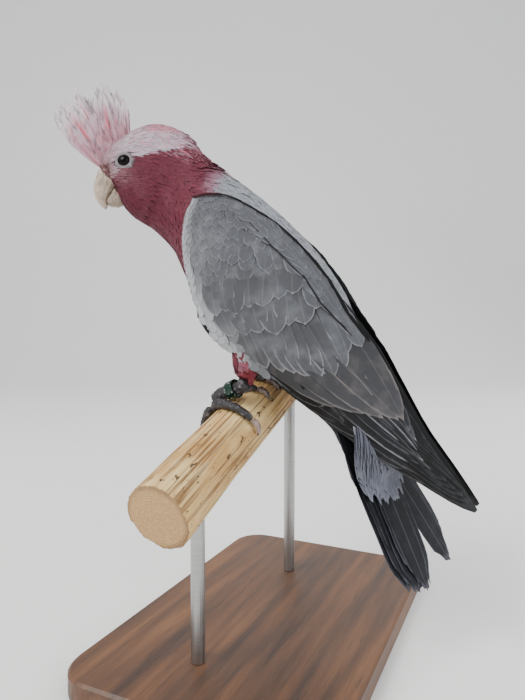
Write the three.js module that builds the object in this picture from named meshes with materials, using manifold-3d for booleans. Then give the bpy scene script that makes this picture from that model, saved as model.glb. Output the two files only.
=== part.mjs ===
// A galah (rose-breasted cockatoo) at life size. It grips a cut length of bare branch with both feet, and two
// rods hold the branch over a flat display base.
// Millimetres, +Z up. The origin is the centre of the base's underside. The head is towards -X, and the bird's left
// side is towards -Y.
import * as THREE from "three";
import { mergeVertices } from "three/addons/utils/BufferGeometryUtils.js";
import Module from "manifold-3d";

const wasm = await Module();
wasm.setup();

const RAD = Math.PI / 180;
const GAP = 0.3; // clearance between pieces that touch

// ---------------------------------------------------------------------------------------------------------------
// Driving dimensions
// ---------------------------------------------------------------------------------------------------------------

// The bird frame: its origin is on the branch's crown, midway between the feet.
const BIRD_X = -15;
const CROWN_HEIGHT = 152;

const HEAD_TURN = 36 * RAD; // the head looks round to the bird's left
const NECK_AXIS_X = -67; // the upright axis that the head turns about

const BRANCH = {
  radius: 17.6,
  slope: 19 * RAD, // its left end is the low one
  x: 2.7,
  axisZ: -7.2, // height of its axis on the bird's midline, in the bird frame
  leftEnd: -118,
  rightEnd: 96,
};

const STAND = {
  length: 236,
  width: 156,
  thickness: 14,
  corner: 22,
  centreX: 0,
  rodRadius: 4,
  rodsAlongBranch: [-78, 62],
};

// ---------------------------------------------------------------------------------------------------------------
// Ways of making a closed solid
// ---------------------------------------------------------------------------------------------------------------

const v3 = (x, y, z) => new THREE.Vector3(x, y, z);
const mix = (a, b, t) => a + (b - a) * t;
const swell = (t, power = 1) => Math.pow(Math.max(0, Math.sin(Math.PI * t)), power);

// A Catmull-Rom curve through evenly numbered values, at the number u.
function smooth(values, u) {
  const last = values.length - 1;
  const i = Math.max(0, Math.min(Math.floor(u), last - 1));
  const t = u - i;
  const [a, b, c, d] = [i - 1, i, i + 1, i + 2].map((k) => values[Math.max(0, Math.min(last, k))]);
  return 0.5 * (2 * b + (c - a) * t + (2 * a - 5 * b + 4 * c - d) * t * t + (3 * b - a - 3 * c + d) * t * t * t);
}

// A value between the stations that are listed against a rising position.
function between(stations, key, at) {
  let i = stations.findIndex((s) => s.at > at);
  if (i < 0) i = stations.length - 1;
  i = Math.max(1, i);
  const [a, b] = [stations[i - 1].at, stations[i].at];
  return smooth(stations.map((s) => s[key]), i - 1 + (at - a) / (b - a));
}

function volume(positions, index) {
  const [a, b, c] = [v3(), v3(), v3()];
  let sum = 0;
  for (let i = 0; i < index.length; i += 3) {
    a.fromArray(positions, index[i] * 3);
    b.fromArray(positions, index[i + 1] * 3);
    c.fromArray(positions, index[i + 2] * 3);
    sum += a.dot(b.cross(c));
  }
  return sum;
}

function closedGeometry(positions, index) {
  if (volume(positions, index) < 0) {
    for (let i = 0; i < index.length; i += 3) [index[i], index[i + 1]] = [index[i + 1], index[i]];
  }
  const geometry = new THREE.BufferGeometry();
  geometry.setAttribute("position", new THREE.Float32BufferAttribute(positions, 3));
  geometry.setIndex(index);
  return geometry;
}

// A skin over a row of rings with the same number of points, closed at both ends.
function loft(rings) {
  const sides = rings[0].length;
  const positions = rings.flat().flatMap((p) => p.toArray());
  const index = [];
  for (let r = 0; r < rings.length - 1; r++) {
    for (let k = 0; k < sides; k++) {
      const [a, b] = [r * sides + k, r * sides + ((k + 1) % sides)];
      index.push(a, b, a + sides, b, b + sides, a + sides);
    }
  }
  for (const [r, flip] of [[0, true], [rings.length - 1, false]]) {
    const centre = rings[r].reduce((sum, p) => sum.add(p), v3()).divideScalar(sides);
    const c = positions.length / 3;
    positions.push(...centre.toArray());
    for (let k = 0; k < sides; k++) {
      const [a, b] = [r * sides + k, r * sides + ((k + 1) % sides)];
      if (flip) index.push(b, a, c);
      else index.push(a, b, c);
    }
  }
  return closedGeometry(positions, index);
}

// A round limb along a path of points, with its own radius at each, and round ends.
function limb(path, radii, sides = 6) {
  const curve = new THREE.CatmullRomCurve3(path);
  const steps = radii.length - 1;
  const rings = [];
  let across = v3(0, 1, 0);
  for (let i = 0; i <= steps; i++) {
    const t = i / steps;
    const along = curve.getTangent(t);
    across = across.sub(along.clone().multiplyScalar(across.dot(along))).normalize();
    const up = along.clone().cross(across);
    const centre = curve.getPoint(t);
    rings.push(
      Array.from({ length: sides }, (_, k) => {
        const angle = (2 * Math.PI * k) / sides;
        return centre
          .clone()
          .addScaledVector(across, radii[i] * Math.cos(angle))
          .addScaledVector(up, radii[i] * Math.sin(angle));
      })
    );
  }
  return loft(rings);
}

function solid(geometry) {
  const bare = new THREE.BufferGeometry();
  bare.setAttribute("position", geometry.getAttribute("position"));
  bare.setIndex(geometry.index);
  const merged = mergeVertices(bare, 1e-3);
  return new wasm.Manifold(
    new wasm.Mesh({
      numProp: 3,
      vertProperties: merged.attributes.position.array,
      triVerts: new Uint32Array(merged.index.array),
    })
  );
}

// The largest body of a solid, as a geometry again.
function geometryOf(made) {
  const largest = made.decompose().sort((a, b) => b.volume() - a.volume())[0];
  const mesh = largest.getMesh();
  const positions = [];
  for (let i = 0; i < mesh.numVert; i++) {
    for (let k = 0; k < 3; k++) positions.push(mesh.vertProperties[i * mesh.numProp + k]);
  }
  return closedGeometry(positions, Array.from(mesh.triVerts));
}

// The same closed skin, moved out by a distance: the room that a piece takes from its neighbours.
function grown(geometry, distance = GAP) {
  const bare = new THREE.BufferGeometry();
  bare.setAttribute("position", geometry.getAttribute("position"));
  bare.setIndex(geometry.index);
  const skin = mergeVertices(bare, 1e-3);
  skin.computeVertexNormals();
  const { position, normal } = skin.attributes;
  const moved = Array.from(position.array, (value, i) => value + distance * normal.array[i]);
  return closedGeometry(moved, Array.from(skin.index.array));
}

function cut(geometry, ...tools) {
  return geometryOf(tools.reduce((left, tool) => left.subtract(solid(tool)), solid(geometry)));
}

function joined(geometries) {
  return geometryOf(geometries.slice(1).reduce((sum, g) => sum.add(solid(g)), solid(geometries[0])));
}

function mirrored(geometry) {
  const copy = geometry.clone().scale(1, -1, 1);
  return closedGeometry(Array.from(copy.attributes.position.array), Array.from(copy.index.array));
}

// ---------------------------------------------------------------------------------------------------------------
// Materials and the scene graph
// ---------------------------------------------------------------------------------------------------------------

const paint = (color, roughness, metalness = 0) => new THREE.MeshStandardMaterial({ color, roughness, metalness });
const MATERIAL = {
  rose: paint(0x93404f, 0.85),
  crown: paint(0xd9b3b8, 0.85),
  grey: paint(0x8f9196, 0.85),
  flight: paint(0x3a3b42, 0.75),
  horn: paint(0xd8d0be, 0.45),
  claw: paint(0x8d8684, 0.5),
  eye: paint(0x0b0a0c, 0.08),
  scale: paint(0x55504f, 0.7),
  ring: paint(0x10321f, 0.35, 0.8),
  wood: paint(0xc8a873, 0.8),
  base: paint(0x26211e, 0.5),
  rod: paint(0x9a9a9a, 0.35, 0.9),
};

const galah = new THREE.Group();
const bird = new THREE.Group();
bird.position.set(BIRD_X, 0, CROWN_HEIGHT);
galah.add(bird);
const head = new THREE.Group(); // its own frame is straight ahead, before the turn of the neck
head.position.set(NECK_AXIS_X, 0, 0);
head.rotation.z = HEAD_TURN;
bird.add(head);

function add(parent, name, geometry, material) {
  const mesh = new THREE.Mesh(geometry, material);
  mesh.name = name;
  parent.add(mesh);
  return mesh;
}

// ---------------------------------------------------------------------------------------------------------------
// Head, neck and trunk: one loft from the bill's root to the tail coverts, parted at the throat and the shoulders
// ---------------------------------------------------------------------------------------------------------------

// Each station is a pair of points of the side outline, over the back and along the belly, with the half width
// between them. They are in the bird frame with the head looking straight ahead. turn is the share of the head's turn.
const STATIONS = [
  { back: [-111.5, 155.5], belly: [-102, 144.5], half: 6.5, turn: 1 },
  { back: [-109.5, 161.5], belly: [-99, 139], half: 10.5, turn: 1 },
  { back: [-104, 168.5], belly: [-96, 131.5], half: 14.5, turn: 1 },
  { back: [-96, 175.5], belly: [-92, 126], half: 17, turn: 1 },
  { back: [-86, 182], belly: [-87, 121.5], half: 19.5, turn: 1 },
  { back: [-73, 186], belly: [-81, 118], half: 22, turn: 1 },
  { back: [-59, 183.5], belly: [-74.5, 114], half: 24, turn: 1 },
  { back: [-47, 175], belly: [-68.5, 108.5], half: 26.5, turn: 0.86 },
  { back: [-37.5, 161.5], belly: [-61, 100.5], half: 29, turn: 0.6 },
  { back: [-22, 150.5], belly: [-52.5, 89.5], half: 31.5, turn: 0.27 },
  { back: [-2, 136.5], belly: [-41, 74], half: 33.5, turn: 0 },
  { back: [20, 118], belly: [-26, 57], half: 34.5, turn: 0 },
  { back: [41, 97], belly: [-5, 42], half: 34.5, turn: 0 },
  { back: [58.5, 73.5], belly: [18, 24], half: 32.5, turn: 0 },
  { back: [70.5, 48], belly: [39, 5], half: 29, turn: 0 },
  { back: [77, 25], belly: [55, -7], half: 26.5, turn: 0 },
  { back: [82, 3], belly: [66, -14], half: 25.5, turn: 0 },
  { back: [87, -18], belly: [76, -25], half: 24, turn: 0 },
  { back: [94, -38], belly: [88.5, -42], half: 15, turn: 0 },
];
const PARTED_AT = { head: 6, neck: 9.6 };
const BODY_SIDES = 20;
const BODY_STEP = 0.7;
const SQUARENESS = 2.15; // 2 is an ellipse

function bodyRing(u, headFrame) {
  const at = (read) => smooth(STATIONS.map(read), u);
  const [backX, backZ] = [at((s) => s.back[0]), at((s) => s.back[1])];
  const [bellyX, bellyZ] = [at((s) => s.belly[0]), at((s) => s.belly[1])];
  const [x, z] = [(backX + bellyX) / 2, (backZ + bellyZ) / 2];
  const rise = v3((backX - bellyX) / 2, 0, (backZ - bellyZ) / 2);
  const depth = rise.length();
  rise.normalize();
  const half = at((s) => s.half);
  const turn = headFrame ? 0 : at((s) => s.turn) * HEAD_TURN;
  return Array.from({ length: BODY_SIDES }, (_, k) => {
    const angle = (2 * Math.PI * k) / BODY_SIDES;
    const [c, s] = [Math.cos(angle), Math.sin(angle)];
    const up = depth * Math.sign(c) * Math.pow(Math.abs(c), 2 / SQUARENESS);
    const side = half * Math.sign(s) * Math.pow(Math.abs(s), 2 / SQUARENESS);
    const point = v3(x - NECK_AXIS_X, side, z).addScaledVector(rise, up);
    if (headFrame) return point;
    return point.applyAxisAngle(v3(0, 0, 1), turn).add(v3(NECK_AXIS_X, 0, 0));
  });
}

function bodyBetween(from, to, headFrame = false) {
  const steps = Math.round((to - from) / BODY_STEP);
  return loft(Array.from({ length: steps + 1 }, (_, i) => bodyRing(mix(from, to, i / steps), headFrame)));
}

const PART_GAP = 0.025; // in stations, about GAP
const trunk = bodyBetween(PARTED_AT.neck + PART_GAP, STATIONS.length - 1);
const neck = bodyBetween(PARTED_AT.head + PART_GAP, PARTED_AT.neck - PART_GAP);
const wholeHead = bodyBetween(0, PARTED_AT.head - PART_GAP, true);
const [trunkRoom, neckRoom, headRoom] = [trunk, neck, wholeHead].map((body) => grown(body));

// ---------------------------------------------------------------------------------------------------------------
// Eyes, in the head frame
// ---------------------------------------------------------------------------------------------------------------

const EYE = { x: -93.2 - NECK_AXIS_X, y: 12.4, z: 156.3, radius: 5.2 };

const [leftEye, rightEye] = [-1, 1].map((side) =>
  new THREE.SphereGeometry(EYE.radius, 12, 8).translate(EYE.x, side * EYE.y, EYE.z)
);
add(head, "head", cut(wholeHead, grown(leftEye), grown(rightEye)), MATERIAL.rose);
add(head, "eye_left", leftEye, MATERIAL.eye);
add(head, "eye_right", rightEye, MATERIAL.eye);
add(bird, "neck", neck, MATERIAL.rose);

// ---------------------------------------------------------------------------------------------------------------
// Bill, in the head frame. Each station has a point of the front outline, one of the rear outline, and a half width.
// ---------------------------------------------------------------------------------------------------------------

const UPPER_BILL = [
  { front: [-107, 160], rear: [-95, 151], half: 6.6 },
  { front: [-111.2, 154], rear: [-97, 147.5], half: 6.8 },
  { front: [-113.8, 147.5], rear: [-99.5, 144], half: 6.4 },
  { front: [-115, 141], rear: [-102.5, 140.5], half: 5.6 },
  { front: [-114, 135], rear: [-105.3, 137], half: 4.3 },
  { front: [-111.5, 130.8], rear: [-107.4, 133.6], half: 2.7 },
  { front: [-108.3, 127.6], rear: [-107, 129.4], half: 1.1 },
];
const LOWER_BILL = [
  { front: [-97.8, 146.5], rear: [-93, 146], half: 5.6 },
  { front: [-101.2, 141.2], rear: [-92.5, 138.5], half: 5.9 },
  { front: [-103.6, 137.4], rear: [-93.5, 132], half: 5.3 },
  { front: [-105.4, 134.6], rear: [-99, 128.6], half: 3.7 },
  { front: [-106.2, 132.9], rear: [-103.6, 130], half: 1.6 },
];
const BILL_SIDES = 12;

function billRing(stations, u) {
  const at = (read) => smooth(stations.map(read), u);
  const front = v3(at((s) => s.front[0]), 0, at((s) => s.front[1]));
  const rear = v3(at((s) => s.rear[0]), 0, at((s) => s.rear[1]));
  const centre = front.clone().add(rear).divideScalar(2).sub(v3(NECK_AXIS_X, 0, 0));
  const reach = front.sub(rear).divideScalar(2);
  const half = at((s) => s.half);
  return Array.from({ length: BILL_SIDES }, (_, k) => {
    const angle = (2 * Math.PI * k) / BILL_SIDES;
    return centre.clone().addScaledVector(reach, Math.cos(angle)).add(v3(0, half * Math.sin(angle), 0));
  });
}

function bill(stations) {
  const steps = (stations.length - 1) * 2;
  return loft(Array.from({ length: steps + 1 }, (_, i) => billRing(stations, i / 2)));
}

const upperBill = bill(UPPER_BILL);
add(head, "bill_upper", cut(upperBill, headRoom), MATERIAL.horn);
add(head, "bill_lower", cut(bill(LOWER_BILL), headRoom, grown(upperBill)), MATERIAL.horn);

// ---------------------------------------------------------------------------------------------------------------
// Crest: a fan of raised plumes along the forehead, in the head frame
// ---------------------------------------------------------------------------------------------------------------

const CREST = {
  frontRoot: [-109, 157],
  backRoot: [-98.5, 168],
  lengths: [46, 49, 46, 44, 50, 46, 42, 48, 48, 42, 32],
  leanFront: 128 * RAD, // of each plume's tip from its root: 90 degrees is upright
  leanBack: 91.5 * RAD,
  curlFront: 0.0105, // radians for each millimetre: the first plumes curl up and back
  halfWidth: 4.3,
  halfThickness: 2.1,
  sideStep: 1.6, // plumes lie alternately left and right of the midline
};

// A flat blade with a round tip. place puts a point that is given along, across and through it. rootShare is the
// width at the root.
function blade(length, halfWidth, halfThickness, rootShare, steps, place, sides = 6) {
  const rings = Array.from({ length: steps + 1 }, (_, i) => {
    const t = i / steps;
    const tip = Math.sqrt(Math.max(0.012, 1 - Math.pow(Math.max(0, (t - 0.72) / 0.28), 2.2)));
    const root = mix(rootShare, 1, Math.min(1, t / 0.4));
    return Array.from({ length: sides }, (_, k) => {
      const angle = (2 * Math.PI * k) / sides;
      const across = halfWidth * tip * root * Math.cos(angle);
      const through = halfThickness * Math.sqrt(tip) * Math.sin(angle);
      return place(length * t, across, through);
    });
  });
  return loft(rings);
}

function plume(length, i, all) {
  const t = i / (all.length - 1);
  const lean = mix(CREST.leanFront, CREST.leanBack, t);
  const [rootX, rootZ] = [0, 1].map((k) => mix(CREST.frontRoot[k], CREST.backRoot[k], t));
  const aside = CREST.sideStep * (i % 2 ? 1 : -1);
  const curl = CREST.curlFront * (1 - t) * (1 - t);
  return blade(length, CREST.halfWidth, CREST.halfThickness, 0.8, 4, (along, across, through) => {
    const chord = lean + (curl * (length - along)) / 2;
    const angle = chord - (curl * along) / 2;
    return v3(
      rootX - NECK_AXIS_X + along * Math.cos(chord) - across * Math.sin(angle),
      aside * (0.4 + along / 50) + through,
      rootZ + along * Math.sin(chord) + across * Math.cos(angle)
    );
  });
}

const plumes = CREST.lengths.map(plume);
add(head, "crest", cut(joined(plumes), headRoom), MATERIAL.crown);

// ---------------------------------------------------------------------------------------------------------------
// Branch frame: phi is the angle round the branch from its crown towards the tail, along runs to the bird's right
// ---------------------------------------------------------------------------------------------------------------

function onBranch(phi, along, outward) {
  const reach = BRANCH.radius + outward;
  return v3(reach * Math.sin(phi), along, reach * Math.cos(phi))
    .applyAxisAngle(v3(1, 0, 0), BRANCH.slope)
    .add(v3(BRANCH.x, 0, BRANCH.axisZ));
}

// ---------------------------------------------------------------------------------------------------------------
// Legs: feathered thigh, bare shank, four toes with claws. Two toes point forward and two back.
// ---------------------------------------------------------------------------------------------------------------

const FOOT_APART = 23.5; // along the branch, from the midline to each foot
const TOE_ROOT = { phi: -38 * RAD, outward: 5.6 };
const HEEL = { phi: 13 * RAD, outward: 11 };
const TOES = [
  { name: "inner_front", start: [-52, 3], end: [-120, 8], radius: 2.7, bow: 0 },
  { name: "outer_front", start: [-52, -4], end: [-130, -12], radius: 3, bow: 0 },
  { name: "inner_hind", start: [-34, 5], end: [20, 16], radius: 2.4, bow: 3.5 },
  { name: "outer_hind", start: [-36, -5.5], end: [50, -12.5], radius: 2.8, bow: -2.6 },
];
const TOE_SHAPE = [0.85, 1.02, 0.95, 1.08, 0.9, 1.03, 0.84, 0.96, 0.72]; // swells at the joints
const CLAW_RADII = [1.6, 1.75, 1.4, 0.95, 0.35];
const CLAW_TURN = 28 * RAD; // of the branch's angle, from its root to its tip

function toePath(toe, side) {
  const inward = -side;
  return Array.from({ length: 6 }, (_, i) => {
    const t = i / 5;
    const phi = mix(toe.start[0], toe.end[0], t) * RAD;
    const along = side * FOOT_APART + inward * (mix(toe.start[1], toe.end[1], t) + toe.bow * swell(t));
    const radius = toe.radius * mix(1, 0.8, t);
    return onBranch(phi, along, radius * 1.1 + GAP);
  });
}

function clawPath(toe, side) {
  const inward = -side;
  const way = Math.sign(toe.end[0] - toe.start[0]);
  return Array.from({ length: 4 }, (_, i) => {
    const t = i / 3;
    const phi = toe.end[0] * RAD + way * (3.5 * RAD + CLAW_TURN * t);
    const along = side * FOOT_APART + inward * (toe.end[1] + 0.6 * Math.sign(toe.end[1]) * t);
    const height = mix(toe.radius * 0.95, 0.95, t) + 1.5 * swell(t);
    return onBranch(phi, along, height + GAP);
  });
}

const THIGH = {
  top: [17, 19, 46],
  radii: [16, 16, 15, 13, 11, 8.8, 7, 5.8],
  bulge: 2, // the feathers' front edge bows forward
};
const SHANK_RADII = [3.6, 4.4, 4.2, 3.7, 3.5, 3.8, 4.4, 3.6];
const RING = { inner: 5, outer: 6.1, width: 5.8, at: 0.33 };
const RING_RISE = 0.5; // of its middle over the shank's line

function leg(side, name) {
  const heel = onBranch(HEEL.phi, side * FOOT_APART, HEEL.outward);
  const root = onBranch(TOE_ROOT.phi, side * FOOT_APART, TOE_ROOT.outward);
  const top = v3(THIGH.top[0], side * THIGH.top[1], THIGH.top[2]);
  const knee = heel.clone().lerp(top, 0.5).add(v3(-THIGH.bulge, 0, 0));
  const ankle = heel.clone().add(v3(0.5, 0, 5.6));
  const thigh = limb([top, knee, ankle], THIGH.radii, 12);
  const shankPath = [heel.clone().add(v3(2.4, 0, 2)), heel, heel.clone().lerp(root, 0.5).add(v3(0, 0, 1.2)), root];
  const shank = limb(shankPath, SHANK_RADII, 8);
  const shankRoom = grown(shank);
  add(bird, `thigh_${name}`, cut(thigh, trunkRoom, shankRoom), MATERIAL.rose);
  add(bird, `shank_${name}`, shank, MATERIAL.scale);
  let taken = shankRoom;
  for (const toe of TOES) {
    const path = toePath(toe, side);
    const shape = TOE_SHAPE.map((s, i) => s * toe.radius * mix(1, 0.8, i / (TOE_SHAPE.length - 1)));
    const claw = limb(clawPath(toe, side), CLAW_RADII, 5);
    const whole = limb(path, shape);
    add(bird, `toe_${name}_${toe.name}`, cut(whole, taken, grown(claw)), MATERIAL.scale);
    add(bird, `claw_${name}_${toe.name}`, claw, MATERIAL.claw);
    taken = joined([taken, grown(whole)]);
  }
  return { heel, root, thighRoom: grown(thigh), footRoom: taken };
}

const leftLeg = leg(-1, "left");
const rightLeg = leg(1, "right");

// A closed ring hangs loose on the left shank.
function legRing() {
  const { inner, outer, width } = RING;
  const section = [[inner, -width / 2], [outer, -width / 2], [outer, width / 2], [inner, width / 2], [inner, -width / 2]];
  return new THREE.LatheGeometry(section.map(([r, y]) => new THREE.Vector2(r, y)), 24);
}
const ring = add(bird, "leg_ring", legRing(), MATERIAL.ring);
const shankLine = leftLeg.root.clone().sub(leftLeg.heel).normalize();
ring.position.copy(leftLeg.heel.clone().lerp(leftLeg.root, RING.at).add(v3(0, 0, RING_RISE)));
ring.quaternion.setFromUnitVectors(v3(0, 1, 0), shankLine);

// ---------------------------------------------------------------------------------------------------------------
// Wings, folded: a shell over the side of the trunk that narrows into a blade of long primaries
// ---------------------------------------------------------------------------------------------------------------

// The wing lies along a straight line from the shoulder, falling towards the tail. at is the distance along it. top
// and bottom are the edges' heights over that line, and the other three are distances from the bird's midline.
const SHOULDER = v3(-28, 0, 103);
const WING_FALL = 42.7 * RAD;
const WING = [
  { at: -14, bottom: 9, top: 19, bottomY: 32, topY: 31, bulge: 0.5, thick: 1.5 },
  { at: -9, bottom: 2, top: 26, bottomY: 34.5, topY: 27.5, bulge: 4.5, thick: 5 },
  { at: 0, bottom: -8, top: 33.5, bottomY: 35, topY: 22.5, bulge: 9.5, thick: 8 },
  { at: 12, bottom: -18, top: 38, bottomY: 35, topY: 17.5, bulge: 14, thick: 10 },
  { at: 35, bottom: -31, top: 41, bottomY: 34.5, topY: 15.5, bulge: 17, thick: 10 },
  { at: 57, bottom: -34.5, top: 41.5, bottomY: 33, topY: 14, bulge: 18, thick: 9 },
  { at: 80, bottom: -30.5, top: 38.5, bottomY: 31, topY: 12, bulge: 17.5, thick: 8 },
  { at: 105, bottom: -26.8, top: 32, bottomY: 28, topY: 9.5, bulge: 15.5, thick: 6 },
  { at: 130, bottom: -23.6, top: 27.5, bottomY: 24.5, topY: 7.5, bulge: 12, thick: 4.5 },
  { at: 155, bottom: -18.2, top: 19.5, bottomY: 21, topY: 5.8, bulge: 8.5, thick: 3.2 },
  { at: 180, bottom: -13, top: 11.5, bottomY: 17, topY: 4.8, bulge: 5, thick: 2.4 },
  { at: 205, bottom: -6.8, top: 6.3, bottomY: 12.6, topY: 5, bulge: 2.2, thick: 1.8 },
  { at: 222, bottom: -3, top: 2.6, bottomY: 9.6, topY: 6.4, bulge: 0.6, thick: 1.2 },
  { at: 231, bottom: -1.4, top: 0.6, bottomY: 8, topY: 7, bulge: 0.2, thick: 1 },
];
const WING_PARTED_AT = 118; // coverts and secondaries in front, primaries behind
const WING_EDGE = 0.8; // thickness at the feathers' edges
const WING_ACROSS = 7;

function wingPoint(at, height, y) {
  const [c, s] = [Math.cos(WING_FALL), Math.sin(WING_FALL)];
  return v3(SHOULDER.x + at * c + height * s, y, SHOULDER.z - at * s + height * c);
}

function wingRing(at) {
  const [bottom, top, bottomY, topY, bulge, thick] = ["bottom", "top", "bottomY", "topY", "bulge", "thick"].map((key) =>
    between(WING, key, at)
  );
  const outer = Array.from({ length: WING_ACROSS + 1 }, (_, i) => {
    const t = i / WING_ACROSS;
    return { t, height: mix(bottom, top, t), y: mix(bottomY, topY, t) + bulge * swell(t) };
  });
  const inner = outer
    .map(({ t, height, y }) => ({ height, y: y - WING_EDGE - thick * swell(t, 0.6) }))
    .reverse();
  return [...outer, ...inner].map(({ height, y }) => wingPoint(at, height, -y));
}

function wingBetween(from, to, steps) {
  return loft(Array.from({ length: steps + 1 }, (_, i) => wingRing(mix(from, to, i / steps))));
}

const [wingFrom, wingTo] = [WING[0].at, WING.at(-1).at];
const coverts = wingBetween(wingFrom, WING_PARTED_AT, 10);
const leftCoverts = cut(coverts, trunkRoom, neckRoom, leftLeg.thighRoom, leftLeg.footRoom);
const rightCoverts = cut(mirrored(coverts), trunkRoom, neckRoom, rightLeg.thighRoom, rightLeg.footRoom);
const primaries = cut(wingBetween(WING_PARTED_AT + GAP, wingTo, 7), trunkRoom);
const [leftPrimaryRoom, rightPrimaryRoom] = [primaries, mirrored(primaries)].map((blades) => grown(blades));
add(bird, "wing_left", leftCoverts, MATERIAL.grey);
add(bird, "wing_right", rightCoverts, MATERIAL.grey);
add(bird, "primaries_left", primaries, MATERIAL.flight);
add(bird, "primaries_right", cut(mirrored(primaries), trunkRoom), MATERIAL.flight);

// ---------------------------------------------------------------------------------------------------------------
// Tail: twelve overlapping feathers, hardly fanned, twisted a little to the left and parted right of the middle
// ---------------------------------------------------------------------------------------------------------------

const TAIL = {
  root: [73.5, -4, -6],
  fall: 66.5 * RAD,
  twist: 20 * RAD, // about its own length
  feathers: 12,
  rootSpread: 28, // between the roots of the outermost two
  tipSpread: 25,
  length: 104,
  outerShorter: 4,
  rightShorter: 2, // on top of that
  halfWidth: 10,
  halfThickness: 0.6,
  layer: 0.55, // each feather lies this far under its inner neighbour
  parting: { after: 8, angle: 19 * RAD, from: 18, longer: 6 },
};

function rectrix(i) {
  const middle = (TAIL.feathers - 1) / 2;
  const out = Math.abs(i - middle);
  const share = (i - middle) / middle;
  const parted = i >= TAIL.parting.after;
  const shorter = (TAIL.outerShorter + (share > 0 ? TAIL.rightShorter : 0)) * share * share;
  const length = TAIL.length - shorter + (parted ? TAIL.parting.longer : 0) + 2 * Math.cos(i * 2.4);
  const rootSide = (share * TAIL.rootSpread) / 2;
  const lean = Math.atan((share * (TAIL.tipSpread - TAIL.rootSpread)) / 2 / TAIL.length);
  const angle = lean + (parted ? TAIL.parting.angle : 0);
  const pivot = parted ? TAIL.parting.from * Math.sin(TAIL.parting.angle) : 0;
  const [c, s] = [Math.cos(TAIL.fall), Math.sin(TAIL.fall)];
  const tailwards = v3(c, 0, -s);
  const leftToRight = v3(0, 1, 0).applyAxisAngle(tailwards, TAIL.twist);
  const upwards = v3(s, 0, c).applyAxisAngle(tailwards, TAIL.twist);
  const place = (along, across, through) => {
    const forward = along * Math.cos(angle) - across * Math.sin(angle);
    const side = rootSide - pivot + along * Math.sin(angle) + across * Math.cos(angle);
    const lift = through - TAIL.layer * out - 0.003 * side * side;
    return v3(...TAIL.root)
      .addScaledVector(tailwards, forward)
      .addScaledVector(leftToRight, side)
      .addScaledVector(upwards, lift);
  };
  return blade(length, TAIL.halfWidth, TAIL.halfThickness, 0.7, 5, place, 4);
}

const rectrices = Array.from({ length: TAIL.feathers }, (_, i) => rectrix(i));
add(bird, "trunk", cut(trunk, leftLeg.footRoom, rightLeg.footRoom), MATERIAL.grey);
add(bird, "tail", cut(joined(rectrices), trunkRoom, leftPrimaryRoom, rightPrimaryRoom), MATERIAL.flight);

// ---------------------------------------------------------------------------------------------------------------
// Branch and display stand
// ---------------------------------------------------------------------------------------------------------------

const BRANCH_SIDES = 18;
const BRANCH_RINGS = 8;
const BRANCH_TAPER = 0.0006; // share of the radius lost for each millimetre to the right

// Round under the feet, and waisted and swollen a little away from them.
function branchSolid() {
  const rings = Array.from({ length: BRANCH_RINGS + 1 }, (_, i) => {
    const along = mix(BRANCH.leftEnd, BRANCH.rightEnd, i / BRANCH_RINGS);
    const away = Math.max(0, Math.abs(along) - 45) / 70;
    return Array.from({ length: BRANCH_SIDES }, (_, k) => {
      const phi = (2 * Math.PI * k) / BRANCH_SIDES;
      const knobbly = away * (0.7 * Math.sin(2 * phi + along / 30) + 0.5 * Math.cos(3 * phi - along / 22));
      const taper = -BRANCH.radius * BRANCH_TAPER * (along < 0 ? along + 45 * Math.min(1, -along / 45) : along);
      return onBranch(phi, along, knobbly + taper);
    });
  });
  return loft(rings);
}

const branch = branchSolid();
add(bird, "perch", branch, MATERIAL.wood);

function plate({ length, width, thickness, corner }) {
  const [x, y] = [width / 2, length / 2];
  const outline = new THREE.Shape();
  outline.moveTo(x, y - corner);
  outline.absarc(x - corner, y - corner, corner, 0, Math.PI / 2);
  outline.absarc(corner - x, y - corner, corner, Math.PI / 2, Math.PI);
  outline.absarc(corner - x, corner - y, corner, Math.PI, 1.5 * Math.PI);
  outline.absarc(x - corner, corner - y, corner, 1.5 * Math.PI, 2 * Math.PI);
  outline.closePath();
  const bevel = 1.5;
  const geometry = new THREE.ExtrudeGeometry(outline, {
    depth: thickness - 2 * bevel,
    bevelThickness: bevel,
    bevelSize: bevel,
    bevelOffset: -bevel,
    bevelSegments: 1,
    curveSegments: 4,
  });
  return geometry.translate(0, 0, bevel);
}

add(galah, "stand_base", plate(STAND), MATERIAL.base).position.x = STAND.centreX;

const branchRoom = grown(branch).translate(BIRD_X, 0, CROWN_HEIGHT);
for (const [i, along] of STAND.rodsAlongBranch.entries()) {
  const axis = onBranch(0, along, -BRANCH.radius).add(bird.position);
  const foot = STAND.thickness + GAP;
  const rod = new THREE.CylinderGeometry(STAND.rodRadius, STAND.rodRadius, axis.z - foot, 16);
  rod.rotateX(Math.PI / 2).translate(axis.x, axis.y, (axis.z + foot) / 2);
  add(galah, i === 0 ? "stand_rod_left" : "stand_rod_right", cut(rod, branchRoom), MATERIAL.rod);
}

export default galah;
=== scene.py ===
import math

import bmesh
import bpy
import numpy as np
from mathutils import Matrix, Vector
from mathutils.bvhtree import BVHTree


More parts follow.
